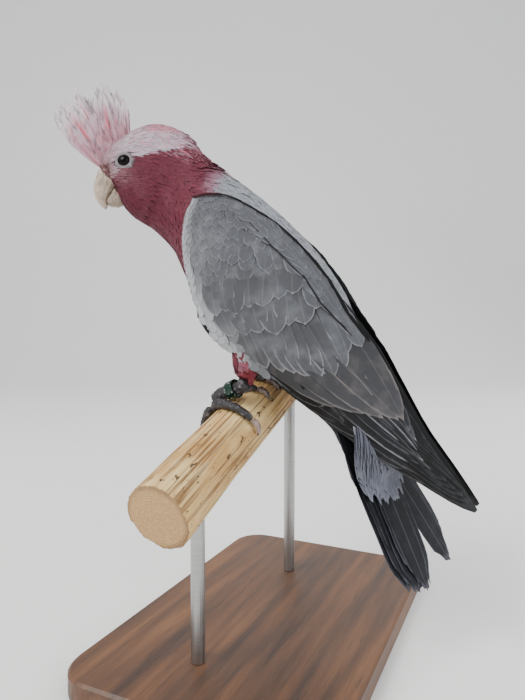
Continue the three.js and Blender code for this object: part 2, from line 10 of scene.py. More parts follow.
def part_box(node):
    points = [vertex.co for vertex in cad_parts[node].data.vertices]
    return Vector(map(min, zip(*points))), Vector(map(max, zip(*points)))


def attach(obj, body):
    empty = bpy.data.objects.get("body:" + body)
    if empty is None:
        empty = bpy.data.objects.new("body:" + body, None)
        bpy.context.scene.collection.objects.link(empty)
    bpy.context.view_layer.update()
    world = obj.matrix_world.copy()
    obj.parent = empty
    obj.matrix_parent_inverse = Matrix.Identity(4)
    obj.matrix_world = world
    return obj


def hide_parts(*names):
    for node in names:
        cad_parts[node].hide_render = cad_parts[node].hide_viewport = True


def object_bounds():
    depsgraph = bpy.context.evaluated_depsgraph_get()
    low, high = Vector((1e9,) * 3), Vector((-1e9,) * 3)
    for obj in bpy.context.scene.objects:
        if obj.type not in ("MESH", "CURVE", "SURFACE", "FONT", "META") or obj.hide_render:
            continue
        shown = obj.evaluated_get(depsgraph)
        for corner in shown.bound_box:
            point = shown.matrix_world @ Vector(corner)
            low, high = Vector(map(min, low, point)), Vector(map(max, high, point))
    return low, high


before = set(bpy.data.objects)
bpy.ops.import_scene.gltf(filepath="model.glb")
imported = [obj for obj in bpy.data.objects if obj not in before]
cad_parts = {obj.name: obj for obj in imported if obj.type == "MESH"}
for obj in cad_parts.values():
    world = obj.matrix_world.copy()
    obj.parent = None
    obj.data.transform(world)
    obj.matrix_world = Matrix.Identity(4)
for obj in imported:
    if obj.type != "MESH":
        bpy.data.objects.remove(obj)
cad_low, cad_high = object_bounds()

# ---------------------------------------------------------------------------
# Display base
# A plain board of oiled dark hardwood with round corners, cut along the grain.
# Nothing is fixed to it but the two rods, which stand in drilled holes.
# ---------------------------------------------------------------------------

MM = 0.001


class Term:
    """The value of a shader socket, which sums and products can be written with."""

    def __init__(self, finish, socket):
        self.finish = finish
        self.socket = socket

    def math(self, operation, other=0.0, swap=False):
        pair = (other, self) if swap else (self, other)
        return self.finish.node("ShaderNodeMath", {"operation": operation}, {0: pair[0], 1: pair[1]})

    def __add__(self, other):
        return self.math("ADD", other)

    def __radd__(self, other):
        return self.math("ADD", other)

    def __sub__(self, other):
        return self.math("SUBTRACT", other)

    def __rsub__(self, other):
        return self.math("SUBTRACT", other, swap=True)

    def __mul__(self, other):
        return self.math("MULTIPLY", other)

    def __rmul__(self, other):
        return self.math("MULTIPLY", other)

    def __abs__(self):
        return self.math("ABSOLUTE")

    def highest(self, other):
        return self.math("MAXIMUM", other)

    def wave(self):
        return self.math("SINE")

    def between(self, low, high):
        """0 below low, 1 above high, and a smooth rise between them."""
        settings = {"interpolation_type": "SMOOTHSTEP"}
        return self.finish.node("ShaderNodeMapRange", settings, {0: self, 1: low, 2: high})


class Finish:
    """A material and the nodes that work out its look."""

    def __init__(self, name):
        self.material = bpy.data.materials.new(name)
        self.material.use_nodes = True
        self.tree = self.material.node_tree
        self.tree.nodes.clear()

    def node(self, kind, settings=None, inputs=None, output=0):
        made = self.tree.nodes.new(kind)
        for key, value in (settings or {}).items():
            if key == "stops":
                ramp = made.color_ramp.elements
                while len(ramp) < len(value):
                    ramp.new(0.5)
                for stop, (place, tone) in zip(ramp, value):
                    stop.position = place
                    stop.color = (*tone, 1.0)
            else:
                setattr(made, key, value)
        for key, value in (inputs or {}).items():
            if isinstance(value, Term):
                self.tree.links.new(value.socket, made.inputs[key])
            else:
                made.inputs[key].default_value = value
        return Term(self, made.outputs[output]) if made.outputs else None

    def place(self):
        return self.node("ShaderNodeTexCoord", output="Object")

    def uv(self, name):
        return self.node("ShaderNodeUVMap", {"uv_map": name})

    def part(self, vector, axis):
        return self.node("ShaderNodeSeparateXYZ", {}, {0: vector}, output=axis)

    def stretched(self, vector, scale, turn=(0.0, 0.0, 0.0)):
        return self.node("ShaderNodeMapping", {}, {"Vector": vector, "Scale": scale, "Rotation": turn})

    def noise(self, vector, scale, detail=3.0, rough=0.55):
        inputs = {"Vector": vector, "Scale": scale, "Detail": detail, "Roughness": rough}
        return self.node("ShaderNodeTexNoise", {}, inputs)

    def cells(self, vector, scale, feature="F1"):
        return self.node("ShaderNodeTexVoronoi", {"feature": feature}, {"Vector": vector, "Scale": scale})

    def attribute(self, name, output="Color"):
        return self.node("ShaderNodeAttribute", {"attribute_name": name}, output=output)

    def mix(self, first, second, share, blend="MIX"):
        first, second = (tone if isinstance(tone, Term) else (*tone, 1.0) for tone in (first, second))
        settings = {"data_type": "RGBA", "blend_type": blend}
        return self.node("ShaderNodeMix", settings, {0: share, 6: first, 7: second}, output=2)

    def ramp(self, value, *stops):
        return self.node("ShaderNodeValToRGB", {"stops": stops}, {0: value})

    def bump(self, height, strength, distance):
        inputs = {"Height": height, "Strength": strength, "Distance": distance * MM}
        return self.node("ShaderNodeBump", {}, inputs)

    def surface(self, tone, roughness, normal=None, **constants):
        """Ends the material. The constants are the shader's own, with _ for a space."""
        inputs = {"Base Color": tone if isinstance(tone, Term) else (*tone, 1.0), "Roughness": roughness}
        inputs.update({key.replace("_", " "): value for key, value in constants.items()})
        if normal:
            inputs["Normal"] = normal
        shader = self.node("ShaderNodeBsdfPrincipled", {}, inputs)
        self.node("ShaderNodeOutputMaterial", {}, {"Surface": shader})
        return self.material


def tone(red, green, blue):
    """A colour given in the usual 0 to 255, as the shaders want it."""
    return tuple(((c / 255 + 0.055) / 1.055) ** 2.4 if c > 10 else c / 255 / 12.92 for c in (red, green, blue))


def dress(piece, finish):
    piece.data.materials.clear()
    piece.data.materials.append(finish)


def board_finish():
    oak = Finish("oiled hardwood")
    place = oak.place()
    grain = oak.noise(oak.stretched(place, (70.0, 5.0, 60.0)), 1.6, 5.0)
    pores = oak.noise(oak.stretched(place, (900.0, 45.0, 700.0)), 1.0, 2.0)
    wood = oak.ramp(grain, (0.3, tone(58, 36, 22)), (0.52, tone(96, 62, 38)), (0.7, tone(122, 82, 52)))
    wood = oak.mix(wood, tone(34, 21, 13), pores.between(0.6, 0.75) * 0.6)
    normal = oak.bump(pores.between(0.7, 0.5), 0.35, 0.2)
    return oak.surface(wood, 0.34 + grain * 0.2, normal)


dress(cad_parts["stand_base"], board_finish())

# ---------------------------------------------------------------------------
# Rods
# Two lengths of ground steel rod, brushed round and round, that hold the
# branch clear of the base.
# ---------------------------------------------------------------------------


def rod_finish():
    steel = Finish("brushed rod steel")
    place = steel.place()
    rings = steel.noise(steel.stretched(place, (60.0, 60.0, 5200.0)), 1.0, 2.0)
    smears = steel.noise(place, 90.0, 2.0)
    shade = steel.mix(tone(150, 150, 150), tone(196, 196, 194), rings)
    return steel.surface(shade, 0.25 + smears * 0.2, steel.bump(rings, 0.2, 0.02), Metallic=1.0)


rod_steel = rod_finish()
for rod in ("stand_rod_left", "stand_rod_right"):
    dress(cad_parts[rod], rod_steel)

# ---------------------------------------------------------------------------
# Branch
# A stripped and weathered limb of hardwood: the bare wood has long ridges of
# grain, small dark pits, and sawn ends with rings. The bird's feet press on it.
# ---------------------------------------------------------------------------

BIRD = np.array([-15.0, 0.0, 152.0])  # the branch's crown under the bird's midline
BRANCH_SLOPE = math.radians(19)
BRANCH_CENTRE = BIRD + [2.7, 0.0, -7.2]
BRANCH_ALONG = np.array([0.0, math.cos(BRANCH_SLOPE), math.sin(BRANCH_SLOPE)])
BRANCH_UP = np.array([0.0, -math.sin(BRANCH_SLOPE), math.cos(BRANCH_SLOPE)])
BRANCH_RADIUS = 17.6


def apply_modifier(piece, kind, **settings):
    bpy.ops.object.select_all(action="DESELECT")
    piece.select_set(True)
    bpy.context.view_layer.objects.active = piece
    modifier = piece.modifiers.new(kind, kind)
    for key, value in settings.items():
        setattr(modifier, key, value)
    bpy.ops.object.modifier_apply(modifier=modifier.name)


def new_piece(name, data):
    piece = bpy.data.objects.new(name, data)
    bpy.context.scene.collection.objects.link(piece)
    return piece


def copy_of(name, nodes, grow=0.0):
    """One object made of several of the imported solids, each let out by grow millimetres."""
    shape = bmesh.new()
    for node in nodes:
        shape.from_mesh(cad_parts[node].data)
    bmesh.ops.remove_doubles(shape, verts=shape.verts, dist=0.002 * MM)
    shape.normal_update()
    for vertex in shape.verts:
        vertex.co += vertex.normal * (grow * MM)
    data = bpy.data.meshes.new(name)
    shape.to_mesh(data)
    shape.free()
    return new_piece(name, data)


def points_of(piece):
    found = np.zeros(len(piece.data.vertices) * 3, np.float32)
    piece.data.vertices.foreach_get("co", found)
    return found.reshape(-1, 3).astype(float) / MM


def normals_of(piece):
    found = np.zeros(len(piece.data.vertices) * 3, np.float32)
    piece.data.vertex_normals.foreach_get("vector", found)
    return found.reshape(-1, 3).astype(float)


def move_points(piece, points):
    piece.data.vertices.foreach_set("co", (points * MM).astype(np.float32).ravel())
    piece.data.update()


def smooth_shade(piece):
    piece.data.polygons.foreach_set("use_smooth", np.ones(len(piece.data.polygons), bool))
    piece.data.update()


def ripple(points, size, seed, waves=5):
    """Soft noise from -1 to 1 with lumps about as large as size, which may differ by axis."""
    draw = np.random.default_rng(seed)
    total = np.zeros(len(points))
    for _ in range(waves):
        heading = draw.normal(size=3)
        heading /= np.linalg.norm(heading)
        total += np.sin((points / size) @ heading * math.pi * draw.uniform(0.7, 1.4) + draw.uniform(0, 6.28))
    return total / waves ** 0.5 / 1.3


def rise(value, low, high):
    """0 below low, 1 above high, smooth between."""
    share = np.clip((value - low) / (high - low), 0.0, 1.0)
    return share * share * (3.0 - 2.0 * share)


def branch_places(points):
    """Distance along the branch, angle round it from its crown, and distance from its axis."""
    out = points - BRANCH_CENTRE
    along = out @ BRANCH_ALONG
    angle = np.arctan2(out[:, 0], out @ BRANCH_UP)
    radius = np.hypot(out[:, 0], out @ BRANCH_UP)
    return along, angle, radius


def make_branch():
    branch = copy_of("branch", ["perch"])
    shape = bmesh.new()
    shape.from_mesh(branch.data)
    bmesh.ops.join_triangles(
        shape, faces=shape.faces, angle_face_threshold=0.5, angle_shape_threshold=3.14
    )
    crease = shape.edges.layers.float.new("crease_edge")
    for edge in shape.edges:
        if len(edge.link_faces) == 2 and edge.calc_face_angle() > 1.0:
            edge[crease] = 0.85
    shape.to_mesh(branch.data)
    shape.free()
    apply_modifier(branch, "SUBSURF", levels=4, render_levels=4)
    points = points_of(branch)
    along, angle, radius = branch_places(points)
    side = rise(radius, 14.0, 16.5)
    twist = angle + along * 0.0022
    wander = 0.05 * ripple(np.stack([along, angle * 20, angle * 0], 1), 40.0, 3)
    lanes = np.stack([np.cos(twist + wander) * 17, np.sin(twist + wander) * 17, along / 26], 1)
    ridges = np.abs(ripple(lanes, 1.9, 4)) ** 0.8 * 0.5 + np.abs(ripple(lanes, 4.5, 5)) * 0.45
    pits = np.clip(ripple(np.stack([twist * 17, along / 1.6, along * 0], 1), 2.6, 8, 7) - 1.15, 0, 1) * 1.6
    carve = (ridges + pits - 0.28) * side
    outward = points - BRANCH_CENTRE - np.outer(along, BRANCH_ALONG)
    outward /= np.maximum(np.linalg.norm(outward, axis=1), 1e-6)[:, None]
    move_points(branch, points - outward * carve[:, None])
    smooth_shade(branch)
    return branch


def branch_finish():
    wood = Finish("stripped branch wood")
    place = wood.stretched(wood.place(), (1.0, 1.0, 1.0), (-BRANCH_SLOPE, 0.0, 0.0))
    long_grain = wood.noise(wood.stretched(place, (480.0, 12.0, 480.0)), 1.0, 3.0)
    fine_grain = wood.noise(wood.stretched(place, (1500.0, 30.0, 1500.0)), 1.0, 2.0)
    patches = wood.noise(wood.stretched(place, (34.0, 20.0, 34.0)), 1.0, 3.0)
    pits = wood.noise(wood.stretched(place, (330.0, 150.0, 330.0)), 1.0, 2.0)
    pale = wood.mix(tone(238, 204, 142), tone(206, 160, 96), patches.between(0.35, 0.65))
    shade = wood.mix(pale, tone(126, 88, 48), long_grain.between(0.48, 0.62) * 0.85)
    shade = wood.mix(shade, tone(246, 224, 178), fine_grain.between(0.52, 0.72) * 0.5)
    along = wood.part(place, "Y") - float(BRANCH_CENTRE @ BRANCH_ALONG) * MM
    shade = wood.mix(shade, tone(116, 70, 44), along.between(0.004, 0.05) * 0.6)
    shade = wood.mix(shade, tone(56, 36, 22), pits.between(0.64, 0.69) * 0.9)
    # The sawn ends show growth rings round the pith instead of the long grain.
    aside = wood.part(place, "X") - float(BRANCH_CENTRE[0]) * MM
    above = wood.part(place, "Z") - float(BRANCH_CENTRE @ BRANCH_UP) * MM
    out = (aside * aside + above * above).math("SQRT")
    rough = wood.noise(wood.place(), 700.0, 3.0)
    rings = ((out + patches * 0.006 + rough * 0.0012) * (2 * math.pi / 0.0013)).wave() * 0.5 + 0.5
    sawn = wood.mix(tone(200, 163, 112), tone(164, 124, 82), (rings * 0.2 + rough * 0.6).between(0.2, 0.7))
    sawn = wood.mix(sawn, tone(92, 62, 40), (out + patches * 0.004).between(0.0165, 0.0195) * 0.5)
    shade = wood.mix(shade, sawn, abs(along + 0.011).between(0.1058, 0.1066))
    height = long_grain * 0.6 + fine_grain * 0.4
    return wood.surface(shade, 0.62 + fine_grain * 0.25, wood.bump(height, 0.5, 0.35))


branch = make_branch()
dress(branch, branch_finish())
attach(branch, "root")
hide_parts("perch")

# ---------------------------------------------------------------------------
# Skin
# One skin runs over the head, neck, trunk, wings, thighs and feet. It lies
# inside the solids by the depth of the coat, and is bare only round the eyes,
# at the nostrils and on the scaly shanks and toes.
# ---------------------------------------------------------------------------

SIDES = ("left", "right")
TOES = ("inner_front", "outer_front", "inner_hind", "outer_hind")
BODY_NODES = ["head", "neck", "trunk", "thigh_left", "thigh_right"]
WING_NODES = ["wing_left", "wing_right"]
FOOT_NODES = [f"shank_{side}" for side in SIDES] + [f"toe_{side}_{toe}" for side in SIDES for toe in TOES]
CLAW_NODES = [f"claw_{side}_{toe}" for side in SIDES for toe in TOES]

# The head's own frame: its middle is midway between the eyes.
eye_centres = [np.array(sum(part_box(f"eye_{side}"), Vector()) / 2) / MM for side in SIDES]
HEAD = (eye_centres[0] + eye_centres[1]) / 2
HEAD_RIGHT = (eye_centres[1] - eye_centres[0]) / np.linalg.norm(eye_centres[1] - eye_centres[0])
HEAD_UP = np.array([0.0, 0.0, 1.0])
HEAD_FORWARD = np.cross(HEAD_UP, HEAD_RIGHT)
EYE_RADIUS = (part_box("eye_left")[1].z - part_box("eye_left")[0].z) / 2 / MM


def in_head(points):
    """Forward, to the right and up from the middle of the head, for each point."""
    out = points - HEAD
    return out @ HEAD_FORWARD, out @ HEAD_RIGHT, out @ HEAD_UP


def from_head(forward, right, up):
    return HEAD + np.outer(forward, HEAD_FORWARD) + np.outer(right, HEAD_RIGHT) + np.outer(up, HEAD_UP)


# The body's line from the bill to the tail's root, with a number for each of its points.
SPINE = BIRD + np.array(
    [
        [-103, -26, 148], [-89, -16, 151], [-75, -6, 152], [-66, 0, 147], [-58, 0, 140], [-49, 0, 131],
        [-37, 0, 120], [-21, 0, 105], [-3, 0, 87], [18, 0, 69], [38, 0, 49], [55, 0, 26], [66, 0, 9],
        [74, 0, -6], [91, 0, -40],
    ],
    float,
)
NAPE, SHOULDERS, RUMP = 3.0, 6.5, 11.5  # numbers along the spine


def along_spine(points):
    """The spine's number next to each point, its direction there, and how far round to the back: 1 back, -1 belly."""
    best = np.full(len(points), 1e9)
    number = np.zeros(len(points))
    middle = np.zeros((len(points), 3))
    heading = np.zeros((len(points), 3))
    for i, (a, b) in enumerate(zip(SPINE, SPINE[1:])):
        reach = b - a
        share = np.clip((points - a) @ reach / (reach @ reach), 0.0, 1.0)
        near = a + np.outer(share, reach)
        distance = np.linalg.norm(points - near, axis=1)
        closer = distance < best
        best[closer] = distance[closer]
        number[closer] = i + share[closer]
        middle[closer] = near[closer]
        weight = np.exp(-((distance / 14.0) ** 2) / 2) + 1e-9
        heading += np.outer(weight, reach / np.linalg.norm(reach))
    heading /= np.linalg.norm(heading, axis=1)[:, None]
    up = HEAD_UP - heading * (heading @ HEAD_UP)[:, None]
    up /= np.linalg.norm(up, axis=1)[:, None]
    out = points - middle
    back = np.einsum("ij,ij->i", out, up) / np.maximum(np.linalg.norm(out, axis=1), 1e-6)
    return number, heading, back


def coat_depth(points):
    """How far the skin lies inside the outline that the feathers make."""
    number, _, _ = along_spine(points)
    return 1.1 + 1.3 * rise(number, 1.0, 5.0)


def make_form(name, nodes, voxel, passes):
    form = copy_of(name, nodes, 0.4)
    apply_modifier(form, "REMESH", mode="VOXEL", voxel_size=voxel * MM)
    apply_modifier(form, "SMOOTH", factor=0.5, iterations=passes)
    return form


def scuted(feet):
    """Raises the cross plates on top of the toes and the grain of small scales on their sides."""
    points, normals = points_of(feet), normals_of(feet)
    along, angle, radius = branch_places(points)
    on_toe = rise(BRANCH_RADIUS + 9.0 - radius, 0.0, 2.0)
    walked = angle * (BRANCH_RADIUS + 4.0)
    plates = np.abs(np.sin(walked * math.pi / 2.3)) ** 0.35
    outward = points - BRANCH_CENTRE - np.outer(along, BRANCH_ALONG)
    outward /= np.linalg.norm(outward, axis=1)[:, None]
    upper = rise(np.einsum("ij,ij->i", normals, outward), 0.1, 0.6) * on_toe
    rings = np.abs(np.sin(points[:, 2] * math.pi / 2.0)) ** 0.4
    grain = np.abs(ripple(points, 1.1, 21)) * 0.3
    height = upper * (plates - 0.8) * 0.5 + (1 - upper) * (grain - 0.1 + (rings - 0.8) * 0.2 * (1 - on_toe))
    move_points(feet, points + normals * height[:, None])


LID_TURNS = 96
# The lid from its rim outwards: distance from the eye's middle, height over it, and how pale; the paleness carries
# painted shade, darker in the grooves between its rings and darkest at the rim against the ball.
LID_DISTANCES = np.array([3.95, 3.82, 3.86, 4.0, 4.2, 4.5, 4.8, 5.1, 5.4, 5.7, 6.0, 6.4, 7.0, 7.8, 8.6])
LID_STANDS = np.array([3.0, 3.6, 3.95, 4.1, 4.06, 4.12, 4.08, 4.1, 4.0, 3.9, 3.7, 3.4, 2.8, 2.0, 1.1])
LID_TONES = [24, 30, 46, 88, 128, 100, 136, 108, 136, 120, 126, 116, 108, 100, 100]


def eye_way(side):
    """The way one eye looks, square to the side of the head round it."""
    centre = eye_centres[SIDES.index(side)]
    away = HEAD_RIGHT * (-1 if side == "left" else 1)
    total = away * 2.0
    for turn in np.linspace(0, 2 * math.pi, 12, endpoint=False):
        spot = centre + away * 4.0 + 7.0 * (math.cos(turn) * HEAD_FORWARD + math.sin(turn) * HEAD_UP)
        total = total + np.array(body_tree.find_nearest(spot.tolist())[1])
    return total / np.linalg.norm(total)


def lid_ring(side):
    """The bare wrinkled ring round one eye, with a rounded rim that grips the ball."""
    centre = eye_centres[SIDES.index(side)]
    outward = eye_way(side)
    level = HEAD_UP - outward * (outward @ HEAD_UP)
    level /= np.linalg.norm(level)
    ahead = np.cross(level, outward) * (-1 if side == "left" else 1)
    angle = np.linspace(0, 2 * math.pi, LID_TURNS, endpoint=False)
    distance = LID_DISTANCES[:, None]
    spread = distance * (1 + 0.045 * np.cos(2 * angle) * (distance < 6))
    forward = spread * np.cos(angle)
    up = spread * np.sin(angle) * 0.97
    fold = 0.12 * np.sin(angle * 23 + 1.3 * np.sin(3 * angle)) * np.exp(-(((distance - 4.8) / 0.8) ** 2))
    knobs = 0.09 * np.sin(distance * 10.0) * np.sin(angle * 37) * rise(distance, 3.9, 4.6)
    lift = LID_STANDS[:, None] + fold + knobs
    points = (
        centre
        + forward[..., None] * ahead
        + up[..., None] * level
        + lift[..., None] * outward
    ).reshape(-1, 3)
    faces = ring_faces(len(LID_DISTANCES), LID_TURNS, side == "right")
    return points, faces


def ring_faces(rounds, turns, flip):
    """Faces between rings of points that lie round each other."""
    faces = []
    for r in range(rounds - 1):
        for k in range(turns):
            a, b = r * turns + k, r * turns + (k + 1) % turns
            faces.append((a, b, b + turns, a + turns))
    return faces if flip else [face[::-1] for face in faces]


def cere_mound(side):
    """The small fleshy swelling round one nostril, over the bill's root."""
    away = HEAD_RIGHT * (-1 if side == "left" else 1)
    spot = body_tree.find_nearest((from_head(14.0, 0.0, -6.0)[0] + away * 5.5).tolist())
    centre, out = np.array(spot[0]), np.array(spot[1])
    level = HEAD_UP - out * (out @ HEAD_UP)
    level /= np.linalg.norm(level)
    ahead = np.cross(level, out)
    turns, steps = 40, np.array([0.05, 0.35, 0.65, 0.9, 1.15, 1.7, 2.4, 3.2, 4.0, 4.8, 5.6])
    angle = np.linspace(0, 2 * math.pi, turns, endpoint=False)
    height = np.interp(steps, [0, 0.65, 1.0, 1.7, 3.0, 4.3, 5.6], [-0.9, -0.6, 0.5, 0.9, 0.75, 0.2, -1.0])
    reach = steps[:, None] * (1 + 0.12 * np.cos(angle) + 0.03 * np.sin(angle * 7))
    points = (
        centre
        + (reach * np.cos(angle))[..., None] * ahead
        + (reach * np.sin(angle) * 0.85)[..., None] * level
        + (height[:, None] + 0.05 * np.sin(angle * 13 + steps[:, None] * 5))[..., None] * out
    ).reshape(-1, 3)
    faces = ring_faces(len(steps), turns, np.dot(np.cross(ahead, level), out) < 0)
    faces.append(tuple(range(turns)) if np.dot(np.cross(ahead, level), out) > 0 else tuple(range(turns))[::-1])
    return points, faces


def join_into(piece, parts):
    bpy.ops.object.select_all(action="DESELECT")
    for part in parts:
        part.select_set(True)
    piece.select_set(True)
    bpy.context.view_layer.objects.active = piece
    bpy.ops.object.join()

# The markings are the same for the skin and the feathers over it.
ROSE = np.array(tone(96, 33, 49))
THIGH_ROSE = np.array(tone(134, 50, 58))
MAUVE = np.array(tone(142, 104, 120))
MANTLE = np.array(tone(132, 135, 141))
RUMP_GREY = np.array(tone(136, 138, 149))
CROWN = np.array(tone(180, 163, 174))
CROWN_PINK = np.array(tone(196, 122, 138))
TUFT_PINK = np.array(tone(184, 62, 88))
CROWN_GREY = np.array(tone(136, 124, 132))
FOREHEAD = np.array(tone(170, 130, 138))
SALMON = np.array(tone(100, 52, 50))
UNDER_EYE = np.array(tone(132, 92, 99))
PALE_EDGE = np.array(tone(178, 180, 186))
PINK_EDGE = np.array(tone(198, 128, 142))
WHITE_EDGE = np.array(tone(226, 216, 222))


def nape_rows(points):
    """1 where the feathers behind the crown stand up a little, and 0 elsewhere."""
    forward, _, up = in_head(points)
    back = along_spine(points)[2]
    return rise(back, 0.55, 0.9) * rise(up, -6.0, 3.0) * rise(-forward, 27.0, 36.0) * (1 - rise(-forward, 54.0, 62.0))


thigh_places = [np.array(sum(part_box(f"thigh_{side}"), Vector()) / 2) / MM for side in SIDES]
THIGH_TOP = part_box("thigh_left")[1].z / MM
THIGH_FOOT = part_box("thigh_left")[0].z / MM


def on_thigh(points):
    """1 on the lower thighs and 0 away from them."""
    away = np.min([np.linalg.norm((points - place)[:, :2], axis=1) for place in thigh_places], axis=0)
    low = THIGH_FOOT + 0.62 * (THIGH_TOP - THIGH_FOOT)
    return rise(15.0 - away, 0.0, 5.0) * rise(low - points[:, 2], -6.0, 6.0)


def blended(first, second, share):
    return first * (1 - share)[..., None] + second * share[..., None]


def markings(points):
    """The plumage's colour at each point, the colour of the feathers' edges there, and how clear the edges are."""
    forward, right, up = in_head(points)
    number, _, back = along_spine(points)
    uneven = ripple(points, 7.0, 31)
    steps = [4.6, 5.3, 6.0, 6.6, 7.0, 7.4, 8.8, 10.2, 11.4]
    edge = np.interp(number, steps, [1.42, 1.15, 0.9, 0.62, 0.3, 0.0, -0.1, -0.6, -1.3])
    grey = rise(back + 0.06 * uneven, edge - 0.34, edge + 0.26)
    shade = blended(ROSE, MAUVE, rise(grey, 0.0, 0.6))
    shade = blended(shade, MANTLE, rise(grey, 0.35, 1.0))
    shade = blended(shade, RUMP_GREY, grey * rise(number, 9.5, 12.0))
    ridge = rise(up, 15.0, 20.0) * (1 - rise(-forward, 36.0, 44.0)) * rise(12.0 - np.abs(right), 0.0, 5.0)
    shade = blended(shade, THIGH_ROSE, on_thigh(points))
    trims = blended(PINK_EDGE * 0.6, PALE_EDGE, rise(grey, 0.3, 0.9))
    clear = 0.1 + 0.25 * rise(grey, 0.02, 0.3) * (1 - rise(number, 4.5, 7.5)) + 0.25 * grey
    line = np.interp(forward, [-45, -22, -6, 1, 7, 18], [8.5, 5.2, 1.2, -3.5, -10.5, -13.5])
    crown = rise(up - line + 0.5 * uneven, -1.0, 1.2) * (1 - rise(number, 3.4, 4.6)) * rise(forward, -52, -38)
    front = rise(forward, -6.0, 12.0)
    crest_tone = blended(np.tile(CROWN, (len(points), 1)), FOREHEAD, front)
    crest_tone = blended(crest_tone, CROWN_PINK, 0.7 * ridge)
    tuft = rise(up, 19.5, 22.0) * rise(-forward, 12.0, 18.0) * (1 - rise(-forward, 34.0, 40.0))
    crest_tone = blended(crest_tone, TUFT_PINK, 0.8 * tuft)
    shade = blended(shade, crest_tone, crown)
    nape = nape_rows(points)
    trims = blended(trims, WHITE_EDGE, crown)
    trims = blended(trims, CROWN_PINK, nape * 0.8)
    clear = (clear + crown * 0.3 + nape * 0.5) * (1 - 0.8 * on_thigh(points))
    gape = np.exp(-((forward - 1.0) ** 2 + (up + 9.5) ** 2) / 36.0) * (1 - crown)
    shade = blended(shade, UNDER_EYE, gape * 0.8)
    nostril = np.exp(-((forward - 13.5) ** 2 + (up + 5.0) ** 2) / 34.0)
    shade = blended(shade, SALMON, np.clip(nostril * 1.1, 0, 1))
    return shade, trims, np.clip(clear, 0, 1)


def paint(piece, shades, extra=1.0):
    """Keeps a colour for each point, with one more number in its fourth place."""
    layer = piece.data.color_attributes.new("tint", "FLOAT_COLOR", "POINT")
    values = np.ones((len(piece.data.vertices), 4), np.float32)
    values[:, :3] = shades
    values[:, 3] = extra
    layer.data.foreach_set("color", values.ravel())


def skin_finish():
    hide = Finish("skin")
    place = hide.place()
    grain = hide.cells(place, 900.0)
    grain = hide.node("ShaderNodeMath", {"operation": "SQRT"}, {0: grain})
    folds = hide.noise(place, 420.0, 4.0)
    bare = hide.attribute("tint", "Alpha")
    shade = hide.mix(hide.attribute("tint"), tone(70, 62, 64), (1.0 - grain) * 0.35 * bare)
    shade = hide.mix(shade, tone(232, 222, 222), folds.between(0.5, 0.8) * 0.3 * bare)
    return hide.surface(shade, 0.62, hide.bump(grain * 0.6 + folds * 0.4, 0.45, 0.25))


skin = make_form("skin", BODY_NODES + WING_NODES, 1.5, 14)
body_form = make_form("body form", BODY_NODES, 1.5, 16)
body_tree = BVHTree.FromPolygons(
    points_of(body_form).tolist(), [tuple(face.vertices) for face in body_form.data.polygons]
)

skin_points = points_of(skin)
# The skin is a little darker than the plumage over it: painted shade for the gaps between the feathers.
skin_shades = markings(skin_points)[0] * 0.9
skin_points -= normals_of(skin) * coat_depth(skin_points)[:, None]
for centre in eye_centres:
    distance = np.linalg.norm(skin_points - centre, axis=1)
    skin_points -= normals_of(skin) * rise(9.5 - distance, 0.0, 4.0)[:, None]
move_points(skin, skin_points)
paint(skin, skin_shades, 0.0)
feet = make_form("feet", FOOT_NODES, 0.55, 3)
scuted(feet)
paint(feet, np.array(tone(34, 33, 34)))
lids = []
for side in SIDES:
    cere_data = bpy.data.meshes.new(f"cere {side}")
    cere_points, cere_faces = cere_mound(side)
    cere_data.from_pydata((cere_points * MM).tolist(), [], cere_faces)
    cere = new_piece(f"cere {side}", cere_data)
    cere_far = np.linalg.norm(cere_points - cere_points[0], axis=1)
    # The mound's middle is painted near black: painted shade for the nostril's opening.
    paint(cere, blended(np.tile(SALMON * 0.12, (len(cere_points), 1)), SALMON * 0.9, rise(cere_far, 0.5, 1.2)))
    lids.append(cere)
    lid_data = bpy.data.meshes.new(f"lid {side}")
    lid_points, lid_faces = lid_ring(side)
    lid_data.from_pydata((lid_points * MM).tolist(), [], lid_faces)
    lid = new_piece(f"lid {side}", lid_data)
    paint(lid, np.repeat(np.array([tone(v, 0.93 * v, 0.96 * v) for v in LID_TONES]), LID_TURNS, 0))
    lids.append(lid)
join_into(skin, [feet, *lids])
smooth_shade(skin)
dress(skin, skin_finish())
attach(skin, "root")
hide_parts(*BODY_NODES, *WING_NODES, *FOOT_NODES)

# ---------------------------------------------------------------------------
# Eyes
# Wet dark balls, almost black, with a brown iris that hardly shows.
# ---------------------------------------------------------------------------


def eye_finish(side):
    wet = Finish(f"eye {side}")
    place = wet.place()
    centre = eye_centres[SIDES.index(side)] + HEAD_RIGHT * EYE_RADIUS * (-1 if side == "left" else 1)
    away = wet.node("ShaderNodeVectorMath", {"operation": "DISTANCE"}, {0: place, 1: tuple(centre * MM)}, "Value")
    streaks = wet.noise(place, 900.0, 2.0)
    iris = wet.mix(tone(11, 6, 5), tone(26, 14, 10), streaks)
    shade = wet.mix((0.002, 0.002, 0.002), iris, away.between(2.7 * MM, 3.0 * MM))
    shade = wet.mix(shade, tone(24, 20, 22), away.between(4.1 * MM, 4.5 * MM))
    return wet.surface(shade, 0.04, IOR=1.34, Specular_IOR_Level=0.2)


for side, centre in zip(SIDES, eye_centres):
    bpy.ops.object.select_all(action="DESELECT")
    bpy.ops.mesh.primitive_uv_sphere_add(segments=48, ring_count=32, radius=EYE_RADIUS * MM, location=centre * MM)
    eye = bpy.context.object
    eye.name = f"eyeball_{side}"
    bpy.ops.object.transform_apply(location=True, rotation=True, scale=True)
    points = points_of(eye)
    outward = HEAD_RIGHT * (-1 if side == "left" else 1)
    bulge = rise((points - centre) @ outward, 4.2, 5.2) * 0.25
    move_points(eye, points + bulge[:, None] * outward)
    smooth_shade(eye)
    dress(eye, eye_finish(side))
    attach(eye, "root")
    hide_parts(f"eye_{side}")

# ---------------------------------------------------------------------------
# Bill
# Bone-coloured horn, ridged along its length and flaking at the edges. The
# upper half is hooked over the short lower half.
# ---------------------------------------------------------------------------


